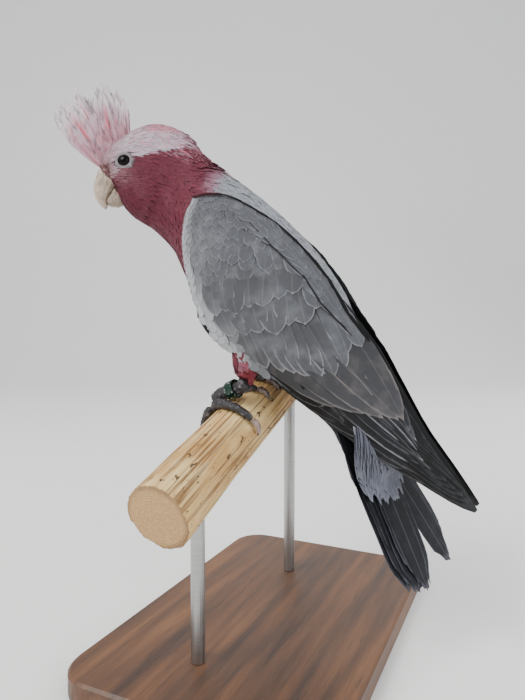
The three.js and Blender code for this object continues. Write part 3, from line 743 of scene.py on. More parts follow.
def horn_finish():
    horn = Finish("bill horn")
    place = horn.place()
    lengthwise = horn.noise(horn.stretched(place, (700.0, 700.0, 120.0)), 1.0, 3.0)
    blotches = horn.noise(place, 130.0, 3.0)
    chips = horn.noise(place, 620.0, 3.0)
    shade = horn.mix(tone(190, 168, 150), tone(150, 136, 118), blotches.between(0.4, 0.68))
    shade = horn.mix(shade, tone(120, 112, 98), lengthwise.between(0.55, 0.75) * 0.5)
    shade = horn.mix(shade, tone(212, 196, 180), chips.between(0.62, 0.72) * 0.5)
    # The tint darkens the lower half, partly its own more olive horn and partly painted shade; its alpha brings in dark
    # brown where the halves meet, painted shade in the seam with some dirt along the gape.
    shade = horn.mix(shade, horn.attribute("tint"), 1.0, "MULTIPLY")
    shade = horn.mix(tone(64, 44, 32), shade, horn.attribute("tint", "Alpha"))
    return horn.surface(shade, 0.42, horn.bump(lengthwise + chips * 0.5, 0.35, 0.3), Subsurface_Weight=0.0)


bill_horn = horn_finish()
for half in ("bill_upper", "bill_lower"):
    bill = make_form(f"{half}_horn", [half], 0.4, 5)
    points, normals = points_of(bill), normals_of(bill)
    # The two halves' facing sides are filled out until they nearly touch, as in a closed bill.
    facing = normals @ HEAD_FORWARD * (-1 if half == "bill_upper" else 1)
    _, _, height = in_head(points)
    points = points + normals * (1.15 * rise(facing, 0.1, 0.7) * rise(-9.0 - height, -2.0, 3.0))[:, None]
    other = copy_of("other half", ["bill_lower" if half == "bill_upper" else "bill_upper"])
    other_tree = BVHTree.FromPolygons(points_of(other).tolist(), [tuple(face.vertices) for face in other.data.polygons])
    bpy.data.objects.remove(other)
    apart = np.array([other_tree.find_nearest(point)[3] for point in points.tolist()])
    # The lower half is painted darker, partly more olive horn and partly painted shade, and the seam between the halves
    # dark brown as painted shade.
    paint(bill, np.full(3, 1.0 if half == "bill_upper" else 0.72), rise(apart, 0.8, 2.0))
    flakes = ripple(points, 1.7, 41, 7) * 0.09 + ripple(points * [1, 1, 0.3], 0.8, 42, 7) * 0.06
    move_points(bill, points + normals * (flakes - 0.25)[:, None])
    smooth_shade(bill)
    dress(bill, bill_horn)
    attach(bill, "root")
    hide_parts(half)

# ---------------------------------------------------------------------------
# Claws
# Eight curved claws of grey-brown horn, paler and pinkish at their tips.
# ---------------------------------------------------------------------------


def claw_finish():
    horn = Finish("claw horn")
    place = horn.place()
    streaks = horn.noise(horn.stretched(place, (500.0, 200.0, 200.0)), 1.0, 3.0)
    shade = horn.mix(tone(74, 66, 66), tone(160, 138, 132), streaks.between(0.35, 0.65))
    return horn.surface(shade, 0.35, horn.bump(streaks, 0.3, 0.15))


claws = make_form("claws", CLAW_NODES, 0.3, 3)
smooth_shade(claws)
dress(claws, claw_finish())
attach(claws, "root")
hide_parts(*CLAW_NODES)

# ---------------------------------------------------------------------------
# Leg ring
# A closed ring of green anodised metal, loose on the left shank, with worn
# edges and two rows of plain punched dots.
# ---------------------------------------------------------------------------


def ring_finish():
    metal = Finish("green anodised ring")
    place = metal.place()
    wear = metal.noise(place, 700.0, 3.0)
    dots = metal.cells(place, 620.0)
    shade = metal.mix(tone(8, 40, 28), tone(18, 66, 46), wear.between(0.4, 0.7))
    shade = metal.mix(shade, tone(196, 208, 200), (0.3 - dots).between(0.0, 0.08) * 0.7)
    return metal.surface(shade, 0.3 + wear * 0.2, metal.bump(wear, 0.1, 0.1), Metallic=0.6, Coat_Weight=0.4)


ring = copy_of("leg_ring_metal", ["leg_ring"])
apply_modifier(ring, "BEVEL", width=0.25 * MM, segments=3, limit_method="ANGLE")
apply_modifier(ring, "SUBSURF", levels=1, render_levels=1)
smooth_shade(ring)
dress(ring, ring_finish())
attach(ring, "root")
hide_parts("leg_ring")

#COAT-BEGIN
# ---------------------------------------------------------------------------
# Body feathers
# Small soft feathers in thousands, rooted in the skin and overlapping towards
# the tail. They are shortest round the bill and longest on the belly and rump.
# ---------------------------------------------------------------------------

SOFT_ROWS = (0.0, 0.4, 0.72, 0.9, 1.0)


def soft_width(share):
    """The width of a loose feather, whose tip ends in separate barbs."""
    return np.interp(share, [0, 0.5, 0.8, 1], [0.6, 1.0, 0.95, 0.62])


def vane_width(share, root=0.55, round_from=0.55):
    """A vane's width at each share of its length: narrow at the root and round at the tip."""
    widening = root + (1 - root) * np.sin(np.clip(share / round_from, 0, 1) * math.pi / 2)
    tip = np.clip((share - round_from) / (1 - round_from), 0, 1)
    return widening * np.sqrt(np.maximum(1 - tip**2, 0.02))


class Vanes:
    """Many feathers that become one mesh. Each is a thin closed body, arched over its shaft."""

    def __init__(self, columns, seed):
        self.columns = columns
        self.random = np.random.default_rng(seed)
        self.parts = []
        self.total = 0

    def lay(self, lines, across, outward, half, lift, look, patches, width=vane_width, ragged=0.05, camber=0.1,
            thickness=0.14, shares=None, brush=0.0, fray=0.0):
        """Adds feathers whose middles run along lines, each a row of points. look is tint, trim, shaft and fringe.
        brush is how far the sides of the tip fall short of its middle, and fray how unevenly, in half widths."""
        count, rows = lines.shape[:2]
        shares = np.array(SOFT_ROWS if shares is None else shares)
        side = np.linspace(-1, 1, self.columns)
        reach = half[:, None] * width(shares)[None, :]
        reach = reach[:, :, None] * (1 + self.random.normal(0, ragged, (count, rows, self.columns)))
        arch = (1 - side**2) * camber
        top = lines[:, :, None] + across[:, :, None] * (side * reach)[..., None]
        top = top + outward[:, :, None] * (lift[:, :, None] + arch * reach)[..., None]
        run = lines[:, -1] - lines[:, -2]
        run /= np.linalg.norm(run, axis=1)[:, None]
        short = brush * side**2 + fray * self.random.uniform(-1, 1, (count, self.columns))
        short = half[:, None, None] * short[:, None, :] * (shares**6)[None, :, None]
        top = top - run[:, None, None] * short[..., None]
        deep = lift[..., None] + camber * reach[..., self.columns // 2, None] - thickness
        under = (lines + outward * deep)[:, :, None]
        points = np.concatenate([top, under], 2)
        ring = self.columns + 1
        places = np.arange(rows * ring).reshape(rows, ring)
        turned = np.roll(places, -1, 1)
        walls = np.stack([places[:-1], turned[:-1], turned[1:], places[1:]], -1).reshape(-1, 4)
        middle = self.columns // 2
        caps = []
        for row, flip in ((0, 1), (rows - 1, -1)):
            ends = [(k, k + 1, ring - 1) for k in range(self.columns - 1)]
            caps += [[row * ring + corner for corner in end[::-flip]] for end in ends]
        tint, trim, shaft, fringe = look
        vane = np.zeros((count, rows, ring, 2))
        vane[..., 0] = np.append((side + 1) / 2, 0.5)
        vane[..., 1] = shares[None, :, None]
        vane = vane.reshape(count, -1, 2)
        patch, size = patches
        bake = patch[:, None] + (vane - 0.5) * size
        tints = np.empty((count, rows, ring, 4))
        tints[..., :3] = (tint if np.ndim(tint) == 3 else np.broadcast_to(tint, (count, 3))[:, None])[:, :, None]
        tints[..., 3] = np.broadcast_to(shaft, (count,))[:, None, None]
        trims = np.concatenate([np.broadcast_to(trim, (count, 3)), np.broadcast_to(fringe, (count,))[:, None]], 1)
        each = rows * ring
        self.parts.append(
            {
                "points": points.reshape(-1, 3),
                "vane": vane.reshape(-1, 2),
                "bake": bake.reshape(-1, 2),
                "tint": tints.reshape(-1, 4),
                "trim": np.repeat(trims, each, 0),
                "walls": (walls[None] + (np.arange(count) * each)[:, None, None]).reshape(-1, 4) + self.total,
                "caps": (np.array(caps)[None] + (np.arange(count) * each)[:, None, None]).reshape(-1, 3) + self.total,
            }
        )
        self.total += count * each

    def make(self, name, finish, slot, *nodes):
        """Joins the feathers into a piece that rides on the bird."""
        whole = {key: np.concatenate([part[key] for part in self.parts]) for key in self.parts[0]}
        data = bpy.data.meshes.new(name)
        walls, caps = whole["walls"], whole["caps"]
        corners = np.concatenate([walls.ravel(), caps.ravel()]).astype(np.int32)
        starts = np.concatenate([np.arange(len(walls)) * 4, len(walls) * 4 + np.arange(len(caps)) * 3])
        data.vertices.add(len(whole["points"]))
        data.vertices.foreach_set("co", (whole["points"] * MM).astype(np.float32).ravel())
        data.loops.add(len(corners))
        data.loops.foreach_set("vertex_index", corners)
        data.polygons.add(len(starts))
        data.polygons.foreach_set("loop_start", starts.astype(np.int32))
        data.update(calc_edges=True)
        for key, title in (("bake", "OFBake"), ("vane", "Vane")):
            layer = data.uv_layers.new(name=title)
            layer.data.foreach_set("uv", whole[key][corners].astype(np.float32).ravel())
        for key in ("tint", "trim"):
            layer = data.color_attributes.new(key, "FLOAT_COLOR", "POINT")
            layer.data.foreach_set("color", whole[key].astype(np.float32).ravel())
        data.set_sharp_from_angle(angle=math.radians(58))
        piece = new_piece(name, data)
        smooth_shade(piece)
        dress(piece, finish)
        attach(piece, "root")
        if nodes:
            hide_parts(*nodes)
        return piece


def vane_finish(name, barbs, streak=0.18, rough=0.68, edge=0.1, tip=0.14, root_tone_and_shadow=0.62, sides=0.4, mottle=0.15):
    """Feather vanes: a shaft, slanting barbs that part here and there, a paler fringe, and a root darkened partly by
    its own duller base and partly by painted shadow from the feathers over it.
    """
    vane = Finish(name)
    place = vane.uv("Vane")
    across = abs(vane.part(place, "X") - 0.5) * 2.0
    along = vane.part(place, "Y")
    spot = vane.place()
    parting = vane.noise(spot, 260.0, 3.0)
    slant = (along * 1.0 - across * 0.22 + parting * 0.03) * (barbs * 2 * math.pi)
    barb = slant.wave() * 0.5 + 0.5
    uneven = vane.noise(spot, 90.0, 3.0)
    shade = vane.mix(vane.attribute("tint"), (0.0, 0.0, 0.0), barb * streak * uneven * 2.0)
    shade = vane.mix(shade, vane.attribute("trim"), uneven.between(0.42, 0.8) * mottle)
    fringe = vane.attribute("trim", "Alpha")
    wavy = (parting - 0.5) * 0.12
    end = ((along - 0.55) * 2.22).highest(0.0)
    out = (across * across * (1.0 - end * end) + end * end).math("SQRT")
    rim = (out + wavy).between(1.0 - edge * 2.2, 1.0) * (end.between(0.0, 0.35) * (1.0 - sides) + sides)
    rim = rim.highest((along + wavy).between(1.0 - tip, 1.0))
    shade = vane.mix(shade, vane.attribute("trim"), rim * fringe)
    line = (1.0 - (across * 12.0).between(0.3, 1.0)) * vane.attribute("tint", "Alpha")
    shade = vane.mix(shade, vane.attribute("trim"), line * 0.5)
    # Darker towards the root: partly the feather's own duller base, partly painted shadow where the feathers in front
    # overlap it.
    shade = vane.mix(shade, (0.0, 0.0, 0.0), (1.0 - along.between(0.1, 0.96)) * root_tone_and_shadow)
    normal = vane.bump(barb * 0.6 + parting * 0.4 + line * 0.8, 0.35, 0.12)
    return vane.surface(shade, rough, normal, Specular_IOR_Level=0.25)


form_points, form_normals = points_of(body_form), normals_of(body_form)
form_corners = np.array([face.vertices[:] for face in body_form.data.polygons if len(face.vertices) == 4])
form_faces = [tuple(face.vertices) for face in body_form.data.polygons]


def snapped(points):
    """The nearest places on the body's outline, and the way out of it there."""
    flat = points.reshape(-1, 3)
    near, out = np.empty_like(flat), np.empty_like(flat)
    for i, point in enumerate(flat.tolist()):
        place, _, face, _ = body_tree.find_nearest(point)
        near[i] = place
        out[i] = form_normals[list(form_faces[face])].mean(0)
    out /= np.linalg.norm(out, axis=1)[:, None]
    return near.reshape(points.shape), out.reshape(points.shape)


def scattered(points, spacing, random):
    """Which of the points to keep so that none lies closer to another than its own spacing."""
    cell = float(spacing.max())
    kept, boxes = [], {}
    steps = [(a, b, c) for a in (-1, 0, 1) for b in (-1, 0, 1) for c in (-1, 0, 1)]
    homes = np.floor(points / cell).astype(int).tolist()
    listed = points.tolist()
    for i in random.permutation(len(points)).tolist():
        x, y, z = listed[i]
        a, b, c = homes[i]
        gap = spacing[i] ** 2
        near = (boxes.get((a + i1, b + i2, c + i3), ()) for i1, i2, i3 in steps)
        if any((x - p) ** 2 + (y - q) ** 2 + (z - r) ** 2 < gap for group in near for p, q, r in group):
            continue
        boxes.setdefault((a, b, c), []).append((x, y, z))
        kept.append(i)
    return np.array(kept)


def lie_of_coat(points, outward):
    """The way that the feathers point: round the bill outwards from it, elsewhere towards the tail."""
    _, heading, _ = along_spine(points)
    root = points - from_head(15.0, 0.0, -7.0)
    far = np.linalg.norm(root, axis=1)
    heading = heading + root / far[:, None] * (2.2 * np.exp(-((far / 13.0) ** 2)))[:, None]
    leg = on_thigh(points)[:, None]
    heading = heading * (1 - leg) + np.array([0.1, 0.0, -1.0]) * leg
    heading -= outward * np.einsum("ij,ij->i", heading, outward)[:, None]
    return heading / np.linalg.norm(heading, axis=1)[:, None]


def body_sizes(points):
    """The spacing, length and half width of the feathers at each point."""
    forward, right, up = in_head(points)
    number, _, back = along_spine(points)
    steps = [0.0, 1.0, 2.2, 3.5, 5.5, 8.0, 11.0, 14.0]
    spacing = np.interp(number, steps, [1.2, 1.25, 1.4, 1.7, 2.3, 2.7, 3.0, 3.2])
    length = np.interp(number, steps, [5.5, 7.0, 9.0, 11.5, 14.0, 16.0, 19.0, 24.0])
    half = np.interp(number, steps, [0.62, 0.66, 0.8, 1.2, 2.0, 2.5, 2.9, 3.2])
    bill = np.exp(-((np.linalg.norm(points - from_head(14.0, 0.0, -7.0), axis=1) / 13.0) ** 2))
    crown = rise(up, 7.0, 13.0) * rise(forward, -26.0, -12.0)
    leg = on_thigh(points)
    nape = nape_rows(points)
    spacing = 0.86 * spacing * (1 - 0.12 * bill) * (1 - 0.5 * leg)
    length = length * (1 - 0.35 * bill) * (1 + 0.4 * crown) * (1 - 0.5 * leg) * (1 + 0.15 * nape)
    half = 0.92 * half * (1 - 0.25 * bill) * (1 - 0.05 * crown) * (1 - 0.7 * leg) * (1 + 0.35 * nape)
    return spacing, length, half


def body_unwrap(points):
    """Each point's place on the body's own skin: how far along it, and how far round."""
    number, heading, _ = along_spine(points)
    low = np.clip(number.astype(int), 0, len(SPINE) - 2)
    middle = SPINE[low] + (SPINE[low + 1] - SPINE[low]) * (number - low)[:, None]
    up = HEAD_UP - heading * (heading @ HEAD_UP)[:, None]
    up /= np.linalg.norm(up, axis=1)[:, None]
    out = points - middle
    round_it = np.arctan2(np.einsum("ij,ij->i", out, np.cross(heading, up)), np.einsum("ij,ij->i", out, up))
    places = np.stack([number / (len(SPINE) - 1), round_it / (2 * math.pi) + 0.5], 1)
    return 0.01 + 0.98 * np.clip(places, 0, 1)


wing_shell = copy_of("wing shell", WING_NODES + ["primaries_left", "primaries_right"])
wing_tree = BVHTree.FromPolygons(
    points_of(wing_shell).tolist(), [tuple(face.vertices) for face in wing_shell.data.polygons]
)
bpy.data.objects.remove(wing_shell)


cere_places = [cere_mound(side)[0][0] for side in SIDES]


WING_ROOT = BIRD + np.array([-28.0, 0.0, 103.0])
WING_FALL = math.radians(42.7)
WING_ALONG = np.array([math.cos(WING_FALL), 0.0, -math.sin(WING_FALL)])
WING_RISE = np.array([math.sin(WING_FALL), 0.0, math.cos(WING_FALL)])
WING_STEP = 2.0
WING_FROM, WING_TO = (-18.0, -40.0), (236.0, 46.0)
# The wing's lower and upper edges over its own straight line, from the shoulder to the tip.
EDGE_ALONG = [-14, -9, 0, 12, 35, 57, 80, 105, 130, 155, 180, 205, 222, 231]
EDGE_LOW = [9, 2, -8, -18, -31, -34.5, -30.5, -26.8, -23.6, -18.2, -13, -6.8, -3, -1.4]
EDGE_HIGH = [19, 26, 33.5, 38, 41, 41.5, 38.5, 32, 27.5, 19.5, 11.5, 6.3, 2.6, 0.6]


def wing_field():
    """How far the folded wing's outer face stands from the bird's middle, over a grid of places on it."""
    along = np.arange(WING_FROM[0], WING_TO[0], WING_STEP)
    up = np.arange(WING_FROM[1], WING_TO[1], WING_STEP)
    field = np.full((len(along), len(up)), np.nan)
    for i, a in enumerate(along):
        for j, b in enumerate(up):
            start = WING_ROOT + WING_ALONG * a + WING_RISE * b + [0.0, -90.0, 0.0]
            hit = wing_tree.ray_cast(start.tolist(), (0.0, 1.0, 0.0), 88.0)[0]
            flesh = body_tree.ray_cast(start.tolist(), (0.0, 1.0, 0.0), 88.0)[0]
            if hit is not None:
                field[i, j] = -hit.y
            # Where the back stands out past the wing, the wing's feathers lie over it.
            if flesh is not None and a < 130 and b < np.interp(a, EDGE_ALONG, EDGE_HIGH) - 1:
                field[i, j] = np.nanmax([field[i, j], -flesh.y]) if hit is not None or -flesh.y > 12 else np.nan
    # Places off the wing take their neighbours' mean, so that feathers may pass its edge a little.
    while np.isnan(field).any():
        padded = np.pad(field, 1, constant_values=np.nan)
        shifted = [padded[1 + a : padded.shape[0] - 1 + a, 1 + b : padded.shape[1] - 1 + b]
                   for a in (-1, 0, 1) for b in (-1, 0, 1)]
        stack = np.array(shifted)
        known = (~np.isnan(stack)).sum(0)
        mean = np.nansum(stack, 0) / np.maximum(known, 1)
        field = np.where(np.isnan(field) & (known > 0), mean, field)
    for _ in range(3):
        padded = np.pad(field, 1, mode="edge")
        field = sum(padded[1 + a : padded.shape[0] - 1 + a, 1 + b : padded.shape[1] - 1 + b]
                    for a in (-1, 0, 1) for b in (-1, 0, 1)) / 9
    return field


def sampled(field, start, step, along, up):
    """A grid's values between its own places, which start at start and lie step apart."""
    a = np.clip((along - start[0]) / step, 0, field.shape[0] - 1.001)
    b = np.clip((up - start[1]) / step, 0, field.shape[1] - 1.001)
    i, j = a.astype(int), b.astype(int)
    s, t = a - i, b - j
    near, far = field[i, j] * (1 - t) + field[i, j + 1] * t, field[i + 1, j] * (1 - t) + field[i + 1, j + 1] * t
    return near * (1 - s) + far * s


WING_FIELD = wing_field()


def wing_stand(along, up):
    """The outer face's distance from the bird's middle at places on the wing."""
    return sampled(WING_FIELD, WING_FROM, WING_STEP, along, up)


def under_wing(points, outward, reach=10.0):
    """True where a wing lies over the point."""
    found = []
    for point, way in zip((points + outward * 0.3).tolist(), outward.tolist()):
        found.append(wing_tree.ray_cast(point, way, reach)[0] is not None)
    out = points - WING_ROOT
    along, up = out @ WING_ALONG, out @ WING_RISE
    low, high = (np.interp(along, EDGE_ALONG, edge) for edge in (EDGE_LOW, EDGE_HIGH))
    inside = (along > -8) & (along < 175) & (up > low + 1.5) & (up < high + 0.5)
    return np.array(found) | (inside & (np.abs(points[:, 1]) > wing_stand(along, up) - 7))


def from_eye(points):
    """Each point's distance from the line that the nearer eye looks along."""
    away = []
    for side, centre in zip(SIDES, eye_centres):
        out = points - centre
        ahead = out @ eye_way(side)
        across = np.linalg.norm(out - ahead[:, None] * eye_way(side), axis=1)
        away.append(np.where(ahead > -2.0, across, 99.0))
    return np.minimum(*away)


def body_feathers():
    random = np.random.default_rng(11)
    corners = form_points[form_corners]
    areas = np.linalg.norm(np.cross(corners[:, 2] - corners[:, 0], corners[:, 3] - corners[:, 1]), axis=1) / 2
    middles = corners.mean(1)
    wanted = areas / body_sizes(middles)[0] ** 2
    chosen = random.choice(len(middles), 170000, p=wanted / wanted.sum())
    shares = random.random((len(chosen), 2))
    a, b, c, d = (corners[chosen, k] for k in range(4))
    s, t = shares[:, :1], shares[:, 1:]
    roots = a * (1 - s) * (1 - t) + b * s * (1 - t) + c * s * t + d * (1 - s) * t
    spacing, length, half = body_sizes(roots)
    kept = scattered(roots, spacing * 0.95, random)
    roots, length, half = roots[kept], length[kept], half[kept]
    near, outward = snapped(roots)
    way = lie_of_coat(near, outward)
    count = len(near)
    way += np.cross(outward, way) * random.normal(0, 0.09, count)[:, None]
    length = length * random.normal(1, 0.08, count)
    tips, tip_out = snapped(near + way * length[:, None])
    eye, eye_tip = from_eye(near), from_eye(tips)
    bill_low = from_head(19.0, 0.0, -10.0)[0]
    cere = np.min([np.linalg.norm(near - place, axis=1) for place in cere_places], axis=0)
    in_bill = np.linalg.norm((near - bill_low) * [1, 1, 0.8], axis=1) < 5.0
    hidden = under_wing(near, outward) & (under_wing(tips, tip_out) | (on_thigh(near) > 0.2))
    hidden |= along_spine(near)[0] > 12.2
    good = ~hidden & (eye > 6.1) & (eye_tip > 5.6) & ~in_bill & (cere > 3.4)
    near, outward, way, length, half = near[good], outward[good], way[good], length[good], half[good]
    return near, outward, way, length, half, random


near, outward, way, length, half, random = body_feathers()
shares = np.array(SOFT_ROWS)
lines, ups = snapped(near[:, None] + way[:, None] * (length[:, None] * shares)[..., None])
lines[..., 2] -= 4.0 * on_thigh(near)[:, None] * shares**2 * rise(THIGH_FOOT + 12 - near[:, 2], 0.0, 8.0)[:, None]
runs = np.gradient(lines, axis=1)
sides = np.cross(runs, ups)
sides /= np.linalg.norm(sides, axis=2)[..., None]
depth = 0.5 * coat_depth(near)
walked = np.cumsum(np.append(0, np.linalg.norm(np.diff(SPINE, axis=0), axis=1)))
row = np.interp(along_spine(near)[0], range(len(SPINE)), walked) / 4.6 % 1.0
perk = random.uniform(-0.15, 0.08, len(near)) * np.clip(half / 2.5, 0.25, 1.0)
stood = 0.2 + np.exp(-(((row - 0.5) / 0.2) ** 2))
perk = perk + 1.7 * nape_rows(near) * stood * random.uniform(0.4, 1.0, len(near))
lift = -depth[:, None] * (1 - shares) ** 1.5 + perk[:, None] * shares**2
lean = random.normal(0, 0.08, len(near))[:, None, None]
sides, ups = sides + ups * lean, ups - sides * lean
shades, trims, clear = markings(lines[:, 3])
forward, _, up = in_head(near)
crown = rise(up, 4.0, 9.0) * rise(forward, -40.0, -30.0)
draw = random.random(len(near))
shades = blended(shades, CROWN_PINK, crown * (draw < 0.24) * 0.75)
shades = blended(shades, CROWN_GREY, crown * (draw > 0.8) * 0.7)
shades = shades * random.normal(1, 0.1, len(near))[:, None]
shafts = np.where(crown > 0.5, 0.6, 0.25)
patches = body_unwrap(near)
body_look = [shades, trims, shafts, clear * random.uniform(0.5, 1.2, len(near))]
number, _, back = along_spine(near)
for title, low, high, side, columns, barbs in (
    ("face_feathers", -1.0, 2.4, 0, 5, 24.0),
    ("neck_feathers", 2.4, 5.2, 0, 5, 34.0),
    ("back_feathers", 5.2, 15.0, 1, 5, 44.0),
    ("belly_feathers", 5.2, 15.0, -1, 5, 44.0),
):
    chosen = (number > low) & (number <= high) & (back * side >= 0)
    coat = Vanes(columns, 12)
    coat.lay(lines[chosen], sides[chosen], ups[chosen], half[chosen], lift[chosen],
             [look[chosen] for look in body_look], (patches[chosen], 0.003), width=soft_width, brush=1.2, fray=0.55)
    coat.make(title, vane_finish(title.replace("_", " "), barbs, root_tone_and_shadow=0.08), "rose_plumage")
#WING-BEGIN
# ---------------------------------------------------------------------------
# Wings
# Folded over the body's sides. The long flight feathers lie lowest, then the
# greater, median and lesser coverts, each row over the roots of the last.
# ---------------------------------------------------------------------------

def wing_place(along, up, side):
    """Points on a wing's outer face and the way out of it."""
    away = -1.0 if side == "left" else 1.0
    stand = wing_stand(along, up)
    slope_along = (wing_stand(along + 1, up) - wing_stand(along - 1, up)) / 2
    slope_up = (wing_stand(along, up + 1) - wing_stand(along, up - 1)) / 2
    points = WING_ROOT + along[..., None] * WING_ALONG + up[..., None] * WING_RISE
    points = points + stand[..., None] * np.array([0.0, away, 0.0])
    out = np.array([0.0, away, 0.0]) - slope_along[..., None] * WING_ALONG - slope_up[..., None] * WING_RISE
    return points, out / np.linalg.norm(out, axis=-1)[..., None]


def wing_lie(along, up):
    """The feathers' angle to the wing's line, in degrees: they hang at the shoulder and straighten to the tip."""
    low = np.interp(along, EDGE_ALONG, EDGE_LOW)
    open_part = np.interp(along, [0, 60, 90, 115, 150], [-44, -42, -34, -20, -13])
    by_edge = np.interp(along, [-10, 20, 45, 60, 85, 200], [-42, -36, -16, 2, 7, 14])
    return open_part + (by_edge - open_part) * rise(low + 16 - up, 0.0, 14.0)


class Quills:
    """Feathers laid on one wing by the place of their tips."""

    def __init__(self, side, columns, seed):
        self.side = side
        self.vanes = Vanes(columns, seed)
        self.random = self.vanes.random

    def lay(self, tips, angles, lengths, half, lifts, look, shares, size=0.003, bend=0.0, keep_low=0.7,
            keep_high=1.0, by_place=False, **more):
        """lifts is how far each stands from the face at its root and at its tip. bend is degrees over its length.
        by_place tints the feathers as the wing is where they lie, and then look starts with how light each is."""
        tips, count = np.asarray(tips, float), len(tips)
        angles, lengths, half, bend = (np.broadcast_to(np.asarray(v, float), count) for v in
                                       (angles, lengths, half, bend))
        shares = np.asarray(shares)
        fine = np.linspace(0, 1, 25)
        turn = np.radians(angles[:, None] + bend[:, None] * (fine - 1))
        run = np.stack([np.cos(turn), np.sin(turn)], -1) * (lengths[:, None] / 24)[..., None]
        path = np.cumsum(run, 1)
        path = path - path[:, -1:] + tips[:, None]
        along = np.array([np.interp(shares, fine, row) for row in path[..., 0]])
        up = np.array([np.interp(shares, fine, row) for row in path[..., 1]])
        low, high = (np.interp(along, EDGE_ALONG, edge) for edge in (EDGE_LOW, EDGE_HIGH))
        margin = np.minimum(0.8 * half[:, None], 0.42 * (high - low))
        up = np.clip(up, low + margin * keep_low, high - margin * keep_high)
        if by_place:
            light = np.broadcast_to(np.asarray(look[0], float), count)
            look = [wing_shade(along, up) * light[:, None, None], *look[1:]]
        points, out = wing_place(along, up, self.side)
        sides = np.cross(np.gradient(points, axis=1), out)
        sides /= np.linalg.norm(sides, axis=2)[..., None]
        if self.side == "right":
            sides = -sides
        root_lift, tip_lift = (np.broadcast_to(np.asarray(v, float), count) for v in lifts)
        lift = root_lift[:, None] + (tip_lift - root_lift)[:, None] * np.clip(shares / 0.8, 0, 1) ** 0.7
        patches = np.stack([(along[:, 0] + 40) / 280, (up[:, 0] + 50) / 110], 1)
        patches = 0.01 + 0.98 * np.clip(patches, 0, 1)
        self.vanes.lay(points, sides, out, half, lift, look, (patches, size), shares=shares, **more)


SHORT_ROWS = (0.0, 0.35, 0.62, 0.83, 0.95, 1.0)
LONG_ROWS = (0.0, 0.16, 0.34, 0.52, 0.68, 0.8, 0.89, 0.95, 0.985, 1.0)
COVERT_GREY = np.array(tone(82, 83, 87))
FRONT_GREY = np.array(tone(89, 90, 95))
LEADING_GREY = np.array(tone(188, 192, 195))
TERTIAL_GREY = np.array(tone(65, 65, 68))
SECONDARY_GREY = np.array(tone(30, 30, 34))
PRIMARY_DARK = np.array(tone(9, 9, 10))
EDGE_GREY = np.array(tone(158, 160, 165))
RAG_EDGE = np.array(tone(140, 133, 130))
INNER_DARK = np.array(tone(7, 7, 8))


def wing_shade(along, up):
    """The coverts' grey over the wing: palest down its front and lower edge, partly paler feathers there and partly
    painted light where the light falls on that edge, and a little cloudy.
    """
    low = np.interp(along, EDGE_ALONG, EDGE_LOW)
    front = rise(low + np.interp(along, [40, 60, 85], [20, 19, 10]) - up, 0.0, 16.0) * (1 - rise(along, 70, 114))
    cloud = ripple(np.stack([along, up, 0 * up], -1).reshape(-1, 3), 13.0, 61).reshape(along.shape)
    shade = blended(FRONT_GREY, COVERT_GREY, rise(along, 10, 60))
    return blended(shade, LEADING_GREY, front * np.interp(along, [40, 70], [0.95, 0.8])) * (1 + 0.08 * cloud)[..., None]


def tint_under_wings():
    """Gives the skin the wings' greys where their feathers lie over it, darkened as painted shade for the gaps between
    the feathers.
    """
    layer = skin.data.color_attributes["tint"].data
    held = np.zeros(len(layer) * 4, np.float32)
    layer.foreach_get("color", held)
    held = held.reshape(-1, 4)
    out = points_of(skin) - WING_ROOT
    along, up = out @ WING_ALONG, out @ WING_RISE
    low, high = (np.interp(along, EDGE_ALONG, edge) for edge in (EDGE_LOW, EDGE_HIGH))
    beside = (along > -12) & (along < 140) & (up > low - 1) & (up < high)
    beside &= np.abs(out[:, 1]) > wing_stand(along, up) - 6
    held[beside, :3] = wing_shade(along, up)[beside] * 0.6
    layer.foreach_set("color", held.ravel())


def tips_along(path, count, jitter, random):
    """Feather tips spread evenly along a path of places on the wing."""
    path = np.asarray(path, float)
    run = np.append(0, np.cumsum(np.linalg.norm(np.diff(path, axis=0), axis=1)))
    at = np.linspace(0, run[-1], count)
    places = np.stack([np.interp(at, run, path[:, k]) for k in (0, 1)], 1)
    return places + random.normal(0, jitter, places.shape)


